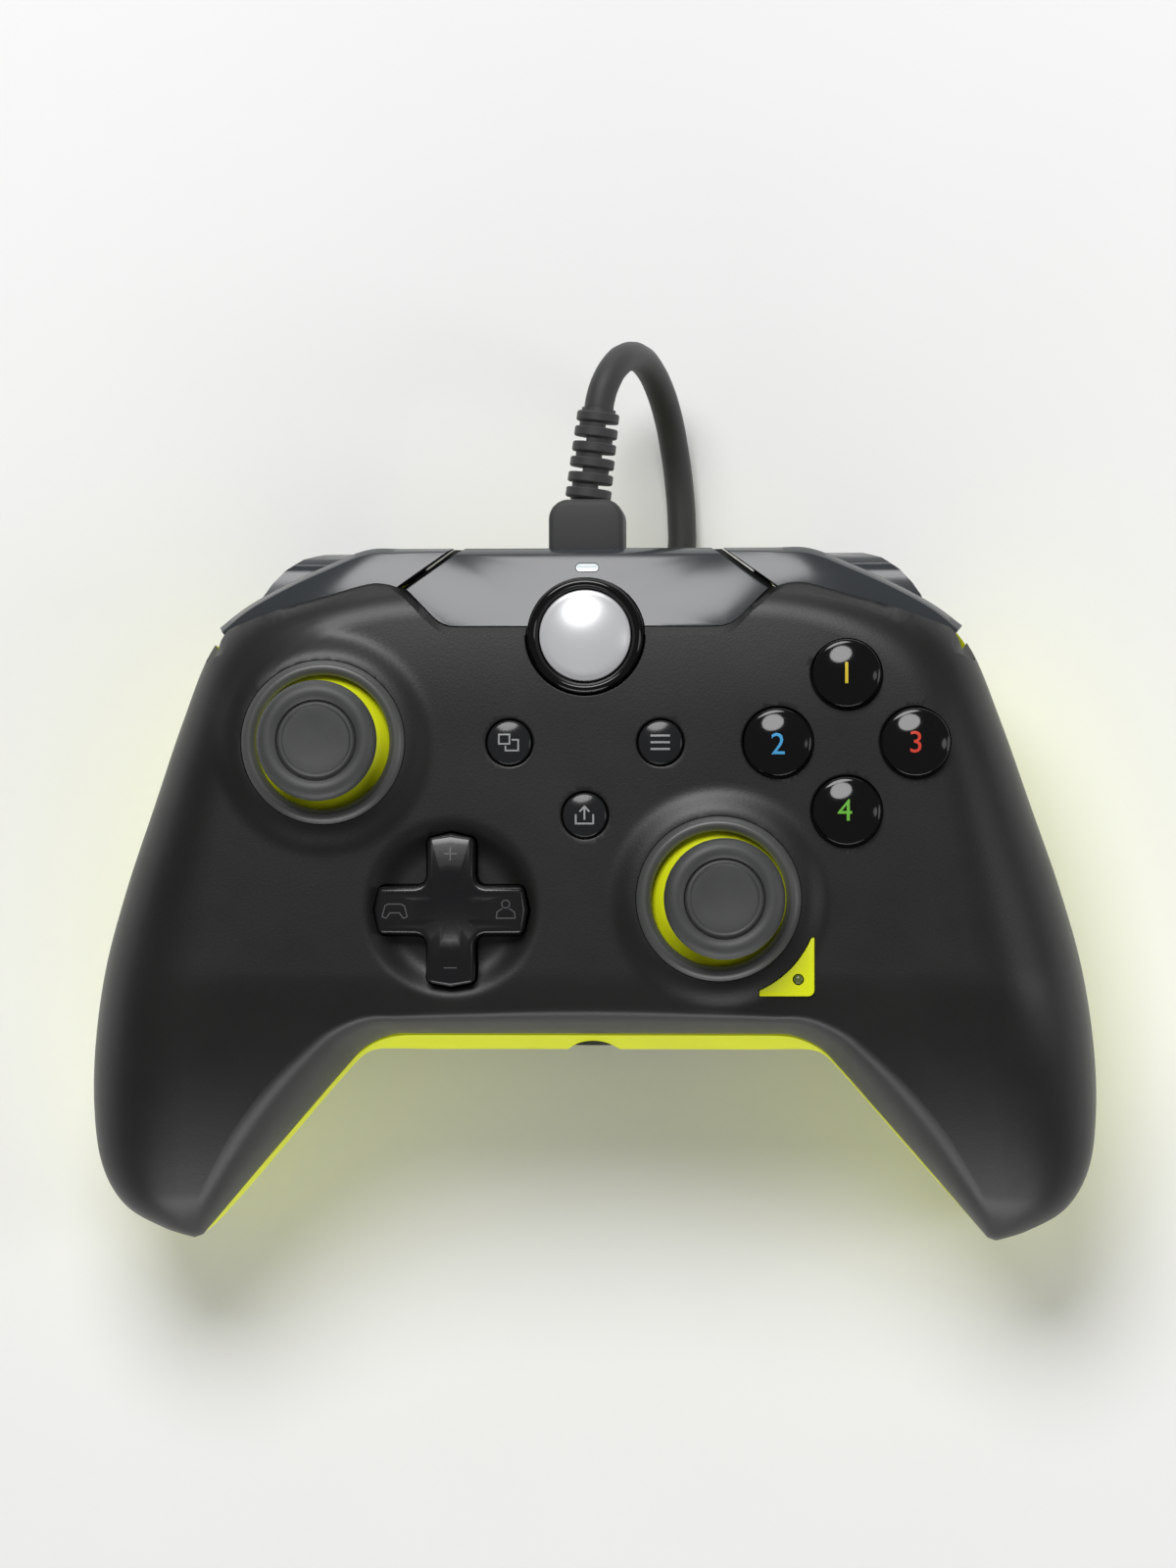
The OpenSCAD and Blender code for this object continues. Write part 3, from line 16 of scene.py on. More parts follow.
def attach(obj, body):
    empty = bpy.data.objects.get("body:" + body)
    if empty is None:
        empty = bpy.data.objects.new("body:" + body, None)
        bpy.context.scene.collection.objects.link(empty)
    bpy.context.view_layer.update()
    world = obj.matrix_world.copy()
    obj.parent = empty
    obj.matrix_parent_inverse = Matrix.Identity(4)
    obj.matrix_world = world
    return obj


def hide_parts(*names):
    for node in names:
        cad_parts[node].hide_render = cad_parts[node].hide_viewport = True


log = logging.getLogger("gamepad")
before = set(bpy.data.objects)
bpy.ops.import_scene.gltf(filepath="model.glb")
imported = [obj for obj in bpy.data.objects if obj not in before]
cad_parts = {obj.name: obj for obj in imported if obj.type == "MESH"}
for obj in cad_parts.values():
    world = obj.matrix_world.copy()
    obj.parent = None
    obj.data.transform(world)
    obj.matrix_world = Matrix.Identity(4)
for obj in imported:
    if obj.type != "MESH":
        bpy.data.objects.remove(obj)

MM = 0.001
Point = tuple[float, float]
Triple = tuple[float, float, float]
CASING = "casing"
SMALL_PIECE = 4000


class Carve(Enum):
    """What a tool shape does to a piece."""

    AWAY = "DIFFERENCE"
    WITH = "UNION"
    ONLY = "INTERSECT"


class Side(Enum):
    """The two sides of the controller, seen on its face."""

    LEFT = -1
    RIGHT = 1

    @property
    def word(self) -> str:
        """The side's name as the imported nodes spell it."""
        return self.name.lower()


def clamp(v: float, low: float, high: float) -> float:
    """v, held between low and high."""
    return max(low, min(high, v))


def smooth(v: float) -> float:
    """A soft step from 0 to 1."""
    c = clamp(v, 0, 1)
    return c * c * (3 - 2 * c)


def mix(a: float, b: float, k: float) -> float:
    """The value a share k of the way from a to b."""
    return a * (1 - k) + b * k


def lookup(v: float, table: Sequence[Point]) -> float:
    """The table's value at v, on straight lines between its points.

    Args:
        v: where it is read.
        table: its points.

    Returns:
        The value.
    """
    if v <= table[0][0]:
        return table[0][1]
    for (a, p), (b, q) in zip(table, table[1:]):
        if v <= b:
            return mix(p, q, (v - a) / (b - a))
    return table[-1][1]


def curve(rows: Sequence[Sequence[float]], t: float) -> list[float]:
    """A smooth curve through rows of numbers.

    Args:
        rows: the rows that it passes through.
        t: the place on it, counted in rows.

    Returns:
        The row at t.
    """
    n = len(rows) - 1
    i = int(clamp(math.floor(t), 0, n - 1))
    k = t - i
    a, b, c, d = rows[max(i - 1, 0)], rows[i], rows[i + 1], rows[min(i + 2, n)]
    return [
        0.5 * (2 * q + (r - p) * k + (2 * p - 5 * q + 4 * r - s) * k * k
               + (3 * q - p - 3 * r + s) * k**3)
        for p, q, r, s in zip(a, b, c, d)
    ]


def looped(points: Sequence[Point], per: int) -> list[Point]:
    """A smooth closed outline through points.

    Args:
        points: the corners it passes through, in order.
        per: how many steps lie between two of them.

    Returns:
        The outline's points.
    """
    n = len(points)
    around = [points[-1], *points, points[0], points[1]]
    return [tuple(curve(around, 1 + k / per)) for k in range(n * per)]


class Form:
    """A shape being modelled by bmesh operators, in millimetres."""

    def __init__(self) -> None:
        """Starts with nothing in it."""
        self.bm = bmesh.new()

    def added(self, before: set[bmesh.types.BMVert]) -> list[bmesh.types.BMVert]:
        """The vertices that weren't there before."""
        return [v for v in self.bm.verts if v not in before]

    def lathe(self, profile: Sequence[Point], at: Triple = (0, 0, 0), steps: int = 72,
              ring: bool = False,
              turn: Matrix | None = None) -> Form:
        """Spins a profile round an upright axis.

        Args:
            profile: points (radius, height).
            at: where the axis' foot goes.
            steps: how many faces lie round it.
            ring: whether the profile closes on itself away from the axis.
            turn: a turn given to the shape before it goes there.

        Returns:
            This form.
        """
        before = set(self.bm.verts)
        verts = [self.bm.verts.new((r, 0, z)) for r, z in profile]
        edges = [self.bm.edges.new(pair) for pair in zip(verts, verts[1:])]
        if ring:
            edges.append(self.bm.edges.new((verts[-1], verts[0])))
        bmesh.ops.spin(
            self.bm, geom=verts + edges, cent=(0, 0, 0), axis=(0, 0, 1), dvec=(0, 0, 0), angle=math.tau,
            steps=steps, use_merge=True, use_normal_flip=False, use_duplicate=False,
        )
        bmesh.ops.remove_doubles(self.bm, verts=self.added(before), dist=1e-4)
        made = self.added(before)
        if turn is not None:
            bmesh.ops.transform(self.bm, matrix=turn, verts=made)
        bmesh.ops.translate(self.bm, vec=at, verts=made)
        return self

    def prism(self, outline: Sequence[Point], low: float, high: float,
              place: Matrix | None = None) -> Form:
        """Raises an outline into a solid.

        Args:
            outline: its corners, in order.
            low: height of its foot.
            high: height of its top.
            place: a transform given to it at the end.

        Returns:
            This form.
        """
        before = set(self.bm.verts)
        verts = [self.bm.verts.new((x, y, low)) for x, y in outline]
        edges = [self.bm.edges.new((a, b)) for a, b in zip(verts, verts[1:] + verts[:1])]
        base = bmesh.ops.contextual_create(self.bm, geom=edges)["faces"]
        grown = bmesh.ops.extrude_face_region(self.bm, geom=base)["geom"]
        top = [v for v in grown if isinstance(v, bmesh.types.BMVert)]
        bmesh.ops.translate(self.bm, vec=(0, 0, high - low), verts=top)
        if place is not None:
            bmesh.ops.transform(self.bm, matrix=place, verts=self.added(before))
        return self

    def block(self, low: Triple, high: Triple, place: Matrix | None = None) -> Form:
        """A box from its lowest to its highest corner, then moved by place.

        Args:
            low: its lowest corner.
            high: its highest corner.
            place: where it is moved.

        Returns:
            This form.
        """
        middle = Vector(low).lerp(Vector(high), 0.5)
        size = Vector(high) - Vector(low)
        matrix = Matrix.Translation(middle) @ Matrix.Diagonal((*size, 1))
        bmesh.ops.create_cube(self.bm, size=1, matrix=(place or Matrix()) @ matrix)
        return self

    def rod(self, start: Triple, end: Triple, r: float, steps: int = 32) -> Form:
        """A round bar from start to end.

        Args:
            start: the middle of its first end.
            end: the middle of its other end.
            r: its radius.
            steps: how many faces lie round it.

        Returns:
            This form.
        """
        a, b = Vector(start), Vector(end)
        turn = (b - a).to_track_quat("Z", "Y").to_matrix().to_4x4()
        bmesh.ops.create_cone(
            self.bm, cap_ends=True, segments=steps, radius1=r, radius2=r, depth=(b - a).length,
            matrix=Matrix.Translation(a.lerp(b, 0.5)) @ turn,
        )
        return self

    def skin(self, rings: Sequence[Sequence[Vector]]) -> Form:
        """A closed solid through rings of equal length.

        Args:
            rings: its sections, each a closed ring of points.

        Returns:
            This form.
        """
        before = set(self.bm.verts)
        n, m = len(rings) - 1, len(rings[0])
        bmesh.ops.create_grid(self.bm, x_segments=n, y_segments=m, size=0.5)
        made = self.added(before)
        for v in made:
            v.co = rings[round((v.co.x + 0.5) * n)][round((v.co.y + 0.5) * m) % m]
        bmesh.ops.remove_doubles(self.bm, verts=made, dist=1e-5)
        rims = [e for v in self.added(before) for e in v.link_edges if e.is_boundary]
        bmesh.ops.holes_fill(self.bm, edges=list(set(rims)), sides=0)
        return self

    def rounded(self, width: float, segments: int = 2, above: float = 35) -> Form:
        """Rounds the edges that are sharper than an angle in degrees.

        Args:
            width: how wide the rounding is.
            segments: how many steps it has.
            above: the angle.

        Returns:
            This form.
        """
        bmesh.ops.remove_doubles(self.bm, verts=self.bm.verts, dist=1e-5)
        sharp = [e for e in self.bm.edges if len(e.link_faces) == 2
                 and e.calc_face_angle(0) > math.radians(above)]
        bmesh.ops.bevel(
            self.bm, geom=sharp, offset=width, offset_type="OFFSET", affect="EDGES", segments=segments,
            profile=0.5, material=-1, clamp_overlap=True,
        )
        return self

    def moved(self, place: Callable[[Vector], Vector]) -> Form:
        """Puts every vertex where place says."""
        for v in self.bm.verts:
            v.co = place(v.co)
        return self

    def turned(self, matrix: Matrix) -> Form:
        """Moves the whole form by a matrix."""
        bmesh.ops.transform(self.bm, matrix=matrix, verts=self.bm.verts)
        return self

    def done(self, name: str) -> bpy.types.Object:
        """Closes the seams, turns the faces outwards and makes the object, in metres."""
        bmesh.ops.remove_doubles(self.bm, verts=self.bm.verts, dist=1e-5)
        bmesh.ops.recalc_face_normals(self.bm, faces=self.bm.faces)
        bmesh.ops.scale(self.bm, vec=(MM, MM, MM), verts=self.bm.verts)
        mesh = bpy.data.meshes.new(name)
        self.bm.to_mesh(mesh)
        self.bm.free()
        made = bpy.data.objects.new(name, mesh)
        bpy.context.scene.collection.objects.link(made)
        return made


def settle(piece: bpy.types.Object) -> bpy.types.Object:
    """Makes what the piece's modifiers do a part of its mesh."""
    graph = bpy.context.evaluated_depsgraph_get()
    mesh = bpy.data.meshes.new_from_object(piece.evaluated_get(graph), depsgraph=graph)
    piece.modifiers.clear()
    old, piece.data = piece.data, mesh
    bpy.data.meshes.remove(old)
    return piece


def carve(piece: bpy.types.Object, how: Carve, *tools: bpy.types.Object) -> bpy.types.Object:
    """Cuts, joins or keeps a piece by tool shapes, which are used up.

    Args:
        piece: what is changed.
        how: what each tool does to it.
        tools: the tool shapes.

    Returns:
        The piece.
    """
    small = len(piece.data.polygons) < SMALL_PIECE
    for tool in tools:
        step = piece.modifiers.new(how.name, "BOOLEAN")
        step.operation = how.value
        step.object = tool
        step.solver = "EXACT" if small else "MANIFOLD"
    settle(piece)
    for tool in tools:
        mesh = tool.data
        bpy.data.objects.remove(tool)
        bpy.data.meshes.remove(mesh)
    return piece


def soften(piece: bpy.types.Object, width: float, segments: int = 2,
           above: float = 35) -> bpy.types.Object:
    """Rounds a carved piece's edges with a bevel, width in millimetres.

    Args:
        piece: what is rounded.
        width: how wide the rounding is.
        segments: how many steps it has.
        above: the angle in degrees past which an edge is rounded.

    Returns:
        The piece.
    """
    step = piece.modifiers.new("soften", "BEVEL")
    step.width = width * MM
    step.segments = segments
    step.limit_method = "ANGLE"
    step.angle_limit = math.radians(above)
    step.use_clamp_overlap = True
    return settle(piece)


def shade(piece: bpy.types.Object, above: float = 34) -> None:
    """Shades a piece smooth, apart from edges sharper than an angle in degrees.

    Args:
        piece: what is shaded.
        above: the angle.
    """
    bm = bmesh.new()
    bm.from_mesh(piece.data)
    for f in bm.faces:
        f.smooth = True
    for e in bm.edges:
        e.smooth = e.calc_face_angle(0) < math.radians(above)
    bm.to_mesh(piece.data)
    bm.free()


@dataclass(frozen=True)
class Sock:
    """A shader socket that takes part in sums."""

    graph: Graph
    socket: bpy.types.NodeSocket

    def _sum(self, operation: str, a: Sock | float, b: Sock | float) -> Sock:
        """A Math node on two values."""
        return self.graph.node("ShaderNodeMath", {"operation": operation}, {0: a, 1: b})

    def __add__(self, other: Sock | float) -> Sock:
        """The sum."""
        return self._sum("ADD", self, other)

    __radd__ = __add__

    def __sub__(self, other: Sock | float) -> Sock:
        """The difference."""
        return self._sum("SUBTRACT", self, other)

    def __rsub__(self, other: Sock | float) -> Sock:
        """The difference from a number."""
        return self._sum("SUBTRACT", other, self)

    def __mul__(self, other: Sock | float) -> Sock:
        """The product."""
        return self._sum("MULTIPLY", self, other)

    __rmul__ = __mul__

    def over(self, low: float, high: float) -> Sock:
        """Goes from 0 at low to 1 at high."""
        inputs = {"Value": self, "From Min": low, "From Max": high}
        return self.graph.node("ShaderNodeMapRange", {"clamp": True}, inputs)


class Graph:
    """The node tree of one finish."""

    def __init__(self, name: str) -> None:
        """Starts an empty tree.

        Args:
            name: the material's name.
        """
        self.material = bpy.data.materials.new(name)
        self.material.use_nodes = True
        self.tree = self.material.node_tree
        self.tree.nodes.clear()

    def node(self, kind: str, settings: dict | None = None, inputs: dict | None = None,
             output: int | str = 0) -> Sock:
        """Adds one node.

        Args:
            kind: the node's type.
            settings: its own settings, set first; stops are a ramp's.
            inputs: values or links of its sockets.
            output: which of its outputs is meant.

        Returns:
            That output.
        """
        node = self.tree.nodes.new(kind)
        for name, value in (settings or {}).items():
            if name == "stops":
                ramp = node.color_ramp.elements
                for k, (place, colour) in enumerate(value):
                    stop = ramp[k] if k < 2 else ramp.new(place)
                    stop.position = place
                    stop.color = colour
            else:
                setattr(node, name, value)
        for name, value in (inputs or {}).items():
            if isinstance(value, Sock):
                self.tree.links.new(value.socket, node.inputs[name])
            else:
                node.inputs[name].default_value = value
        return Sock(self, node.outputs[output])

    def place(self) -> Sock:
        """The place on the piece, in metres."""
        return self.node("ShaderNodeTexCoord", output="Object")

    def noise(self, size: float, detail: float = 2, where: Sock | None = None) -> Sock:
        """Clouds of a size in millimetres."""
        inputs = {"Vector": where or self.place(), "Scale": 1 / (size * MM), "Detail": detail}
        return self.node("ShaderNodeTexNoise", {}, inputs)

    def cells(self, size: float, where: Sock | None = None) -> Sock:
        """Distance to the middle of cells of a size in millimetres."""
        inputs = {"Vector": where or self.place(), "Scale": 1 / (size * MM)}
        return self.node("ShaderNodeTexVoronoi", {}, inputs)

    def tint(self, share: Sock | float, a: Sequence[float] | Sock, b: Sequence[float] | Sock) -> Sock:
        """A colour a share of the way from a to b."""
        return self.node("ShaderNodeMix", {"data_type": "RGBA"}, {0: share, 6: a, 7: b}, output=2)

    def raised(self, height: Sock, depth: float, strength: float = 1,
               under: Sock | None = None) -> Sock:
        """A normal from a height pattern of a depth in millimetres."""
        inputs = {"Strength": strength, "Distance": depth * MM, "Height": height}
        if under is not None:
            inputs["Normal"] = under
        return self.node("ShaderNodeBump", {}, inputs)

    def surface(self, **sockets: Sock | float | Sequence[float]) -> bpy.types.Material:
        """Ends the tree in a surface.

        Args:
            sockets: the shader's sockets, with _ for a space.

        Returns:
            The material.
        """
        inputs = {name.replace("_", " "): value for name, value in sockets.items()}
        shader = self.node("ShaderNodeBsdfPrincipled", {}, inputs)
        self.node_output(shader)
        return self.material

    def node_output(self, shader: Sock) -> None:
        """Sends a shader to the material's output."""
        end = self.tree.nodes.new("ShaderNodeOutputMaterial")
        self.tree.links.new(shader.socket, end.inputs["Surface"])


def shown(r: float, g: float, b: float) -> tuple[float, float, float, float]:
    """A colour as it is seen on a screen, 0 to 255, as shader values."""
    parts = [c / 255 for c in (r, g, b)]
    linear = [c / 12.92 if c <= 0.04045 else ((c + 0.055) / 1.055) ** 2.4 for c in parts]
    return (*linear, 1.0)


@dataclass(frozen=True)
class Moulded:
    """Matte moulded plastic with a fine spark-eroded grain."""

    name: str
    colour: Triple
    roughness: float = 0.5
    grain: float = 0.32
    depth: float = 0.02
    clouding: float = 0.12
    shine: float = 0.5

    def made(self) -> bpy.types.Material:
        """The material."""
        g = Graph(self.name)
        where = g.place()
        clouds = g.noise(14, 3, where)
        fine = g.noise(self.grain, 3, where)
        pits = g.cells(self.grain * 1.4, where)
        base = shown(*self.colour)
        lighter = (*[min(1.0, c * (1 + self.clouding) + 0.001) for c in base[:3]], 1.0)
        darker = (*[c * (1 - self.clouding) for c in base[:3]], 1.0)
        colour = g.tint(clouds.over(0.3, 0.7), darker, lighter)
        colour = g.tint(fine.over(0.35, 0.7) * 0.35, colour, lighter)
        height = fine + pits * 0.5
        return g.surface(
            Base_Color=colour,
            Roughness=(clouds - 0.5) * 0.1 + fine * 0.08 + (self.roughness - 0.04),
            Specular_IOR_Level=self.shine,
            Normal=g.raised(height, self.depth),
        )


@dataclass(frozen=True)
class Gloss:
    """Polished plastic: clear lacquer over the colour, with faint waves, dust and hairlines."""

    name: str
    colour: Triple
    roughness: float = 0.09
    coat: float = 0.6
    waves: float = 0.006
    dust: float = 0.25
    metallic: float = 0.0
    shine: float = 0.5

    def made(self) -> bpy.types.Material:
        """The material."""
        g = Graph(self.name)
        where = g.place()
        wide = g.noise(9, 2, where)
        specks = g.noise(0.5, 4, where).over(0.66, 0.78)
        hair = g.node(
            "ShaderNodeTexNoise", {}, {"Vector": g.node(
                "ShaderNodeMapping", {}, {"Vector": where, "Rotation": (0, 0, 0.7),
                                          "Scale": (1, 14, 1)},
            ), "Scale": 1 / (6 * MM), "Detail": 3},
        ).over(0.62, 0.7)
        base = shown(*self.colour)
        dusty = (*[min(1.0, c + 0.012) for c in base[:3]], 1.0)
        return g.surface(
            Base_Color=g.tint(specks * self.dust, base, dusty),
            Metallic=self.metallic,
            Roughness=wide * 0.04 + specks * (0.2 * self.dust) + hair * 0.03 + self.roughness,
            Specular_IOR_Level=self.shine,
            Coat_Weight=self.coat,
            Coat_Roughness=0.03,
            Normal=g.raised(wide, self.waves),
        )


@dataclass(frozen=True)
class Soft:
    """Rubber: dull, finely grained, with paler clouds."""

    name: str
    colour: Triple
    roughness: float = 0.72
    grain: float = 0.22
    depth: float = 0.02
    sheen: float = 0.12

    def made(self) -> bpy.types.Material:
        """The material."""
        g = Graph(self.name)
        where = g.place()
        clouds = g.noise(5, 3, where)
        fine = g.noise(self.grain, 4, where)
        base = shown(*self.colour)
        paler = (*[c * 1.22 + 0.002 for c in base[:3]], 1.0)
        return g.surface(
            Base_Color=g.tint(clouds.over(0.35, 0.75) * 0.6 + fine * 0.25, base, paler),
            Roughness=clouds * 0.12 + (self.roughness - 0.05),
            Sheen_Weight=self.sheen,
            Sheen_Roughness=0.5,
            Normal=g.raised(fine, self.depth),
        )


@dataclass(frozen=True)
class Metal:
    """Plated or brushed metal with fine lines and tarnish."""

    name: str
    colour: Triple
    roughness: float = 0.3
    lines: float = 0.004

    def made(self) -> bpy.types.Material:
        """The material."""
        g = Graph(self.name)
        where = g.place()
        stretched = g.node("ShaderNodeMapping", {}, {"Vector": where, "Scale": (1, 12, 1)})
        brushed = g.noise(0.9, 3, stretched)
        clouds = g.noise(3, 3, where)
        base = shown(*self.colour)
        dull = (*[c * 0.78 for c in base[:3]], 1.0)
        return g.surface(
            Base_Color=g.tint(clouds.over(0.4, 0.75) * 0.5, base, dull),
            Metallic=1.0,
            Roughness=clouds * 0.15 + brushed * 0.08 + (self.roughness - 0.08),
            Normal=g.raised(brushed, self.lines),
        )


@dataclass(frozen=True)
class Circuit:
    """A circuit board's solder mask with traces under it."""

    name: str
    colour: Triple

    def made(self) -> bpy.types.Material:
        """The material."""
        g = Graph(self.name)
        where = g.place()
        tracks = g.node("ShaderNodeTexBrick", {"offset": 0.37}, {
            "Vector": where, "Scale": 60.0, "Mortar Size": 0.03, "Color1": (0, 0, 0, 1),
            "Color2": (0, 0, 0, 1), "Mortar": (1, 1, 1, 1),
        }, output="Fac")
        grain = g.noise(0.8, 2, where)
        base = shown(*self.colour)
        paler = (*[c * 1.7 + 0.01 for c in base[:3]], 1.0)
        return g.surface(
            Base_Color=g.tint(tracks * 0.6 + grain * 0.2, base, paler),
            Roughness=grain * 0.15 + 0.3,
            Coat_Weight=0.3,
            Normal=g.raised(tracks, 0.03),
        )


@dataclass(frozen=True)
class Lens:
    """A lit or clear window: milky plastic, a little bright from within."""

    name: str
    colour: Triple
    glow: float = 0.0
    roughness: float = 0.25

    def made(self) -> bpy.types.Material:
        """The material."""
        g = Graph(self.name)
        clouds = g.noise(1.2, 2)
        base = shown(*self.colour)
        paler = (*[min(1.0, c * 1.15) for c in base[:3]], 1.0)
        return g.surface(
            Base_Color=g.tint(clouds, base, paler),
            Roughness=clouds * 0.1 + self.roughness,
            Emission_Color=base,
            Emission_Strength=self.glow,
            Coat_Weight=0.4,
        )


Finish = Moulded | Gloss | Soft | Metal | Circuit | Lens

SHELL = Moulded("shell_dark", (21, 23, 20), roughness=0.4, grain=0.3, depth=0.01, shine=0.4)
LIME = Moulded("lime", (222, 230, 24), roughness=0.42, grain=0.2, depth=0.006, clouding=0.03, shine=0.3)
PANEL = Gloss("gloss_grey", (54, 57, 60), roughness=0.14, coat=0.0, waves=0.002, dust=0.1, shine=0.37)
KEY_GREY = Gloss("key_grey", (30, 31, 32), roughness=0.12, coat=0.0, shine=0.3)
BLACK = Gloss("black_gloss", (7, 7, 7), roughness=0.07, coat=0.0, dust=0.4, shine=0.35)
PAD = Gloss("pad_black", (18, 18, 20), roughness=0.22, coat=0.0, dust=0.5, shine=0.45)
SILVER = Gloss("silver", (214, 215, 217), roughness=0.28, coat=0.3, dust=0.0, metallic=0.35)
COLLAR = Moulded("collar_grey", (72, 74, 72), roughness=0.38, grain=0.2, depth=0.004, clouding=0.05)
CAP = Soft("cap_rubber", (56, 58, 57), roughness=0.5, grain=0.18, sheen=0.0)
CLEAR = Lens("clear", (203, 212, 215), glow=0.15)
LAMP = Lens("lamp_green", (84, 98, 44))
FRAME = Moulded("frame_grey", (70, 71, 72))
CHIPS = Moulded("chips", (32, 33, 34), grain=0.15)
BOARD = Circuit("board_green", (24, 86, 52))
STEEL = Metal("steel", (190, 192, 195))
WEIGHTS = Metal("weights", (150, 140, 118), roughness=0.4)
MEMBRANE = Soft("membrane", (150, 151, 150), sheen=0.05)
NYLON = Moulded("nylon", (212, 211, 204), roughness=0.55, clouding=0.03)
DARK_NYLON = Moulded("dark_nylon", (72, 72, 75), roughness=0.55)
CORD = Soft("cord_rubber", (44, 45, 45), roughness=0.6, grain=0.3, depth=0.012)
TIE = Soft("tie_nylon", (30, 30, 31), roughness=0.65)
MADE: dict[str, bpy.types.Material] = {}


def finished(finish: Finish) -> bpy.types.Material:
    """The finish's material, made once."""
    if finish.name not in MADE:
        MADE[finish.name] = finish.made()
    return MADE[finish.name]


@dataclass(frozen=True)
class Dress:
    """How a piece is finished and what it belongs to."""

    finish: Finish
    slot: str
    body: str = CASING
    replaces: tuple[str, ...] = ()
    above: float = 34

    def put(self, piece: bpy.types.Object) -> bpy.types.Object:
        """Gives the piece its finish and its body.

        Args:
            piece: a finished mesh or curve.

        Returns:
            The piece.
        """
        piece.data.materials.clear()
        piece.data.materials.append(finished(self.finish))
        if piece.type == "MESH":
            shade(piece, self.above)
            log.info("%s: %d faces", piece.name, len(piece.data.polygons))
        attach(piece, self.body)
        if self.replaces:
            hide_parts(*self.replaces)
        return piece


@dataclass(frozen=True)
class Studio:
    """Camera, lamps, white world and floor."""

    eye: Triple = (44.253, 0.847, 786.876)
    aim: Triple = (-0.217, 16.554, 38.36)
    lens: float = 113.636
    floor_half: float = 0.55

    def camera(self) -> None:
        """A camera where the photograph was taken from, with +Y up in the picture."""
        data = bpy.data.cameras.new("camera")
        data.lens = self.lens
        data.sensor_width = 36
        data.clip_start = 0.05
        made = bpy.data.objects.new("camera", data)
        bpy.context.scene.collection.objects.link(made)
        back = (Vector(self.eye) - Vector(self.aim)).normalized()
        right = Vector((0, 1, 0)).cross(back).normalized()
        up = back.cross(right)
        turn = Matrix((right, up, back)).transposed().to_4x4()
        made.matrix_world = Matrix.Translation(Vector(self.eye) * MM) @ turn
        bpy.context.scene.camera = made

    def lamp(self, name: str, at: Triple, size: Point, power: float) -> None:
        """A soft lamp that faces the object.

        Args:
            name: its name.
            at: its place, in metres.
            size: its width and height, in metres.
            power: its power, in watts.
        """
        data = bpy.data.lights.new(name, "AREA")
        data.shape = "ELLIPSE"
        data.size, data.size_y = size
        data.energy = power
        made = bpy.data.objects.new(name, data)
        bpy.context.scene.collection.objects.link(made)
        way = (Vector((0, 0.01, 0.04)) - Vector(at)).to_track_quat("-Z", "Y").to_matrix().to_4x4()
        made.matrix_world = Matrix.Translation(Vector(at)) @ way

    def world(self) -> None:
        """A plain white world, brighter where the camera looks past the floor."""
        world = bpy.data.worlds.new("world")
        world.use_nodes = True
        bpy.context.scene.world = world
        tree = world.node_tree
        light = tree.nodes["Background"]
        light.inputs["Color"].default_value = (1, 1, 1, 1)
        path = tree.nodes.new("ShaderNodeLightPath")
        seen = tree.nodes.new("ShaderNodeMapRange")
        seen.inputs["To Min"].default_value = 0.2
        seen.inputs["To Max"].default_value = 1.0
        tree.links.new(path.outputs["Is Camera Ray"], seen.inputs["Value"])
        tree.links.new(seen.outputs["Result"], light.inputs["Strength"])

    def floor(self) -> None:
        """A plain white floor that keeps the object's shadow."""
        form = Form()
        half = self.floor_half / MM
        bmesh.ops.create_grid(form.bm, x_segments=1, y_segments=1, size=half)
        made = form.moved(lambda p: Vector((p.x, p.y, -0.05))).done("floor")
        g = Graph("floor")
        grain = g.noise(30, 2)
        colour = g.tint(grain, (0.9, 0.9, 0.9, 1), (0.92, 0.92, 0.92, 1))
        made.data.materials.append(g.surface(Base_Color=colour, Roughness=0.9, Specular_IOR_Level=0.1))

    def build(self) -> None:
        """Sets the whole stage."""
        self.camera()
        self.world()
        self.lamp("key", (-0.1, 0.48, 0.72), (0.5, 0.4), 5.4)
        self.lamp("side", (0.7, 0.0, 0.4), (0.3, 0.5), 0.9)
        self.lamp("low", (0, -0.65, 0.2), (0.9, 0.2), 2.6)
        self.lamp("rim", (0, 0.8, 0.14), (0.9, 0.12), 1.2)
        self.floor()
        bpy.context.scene.view_settings.view_transform = "Standard"


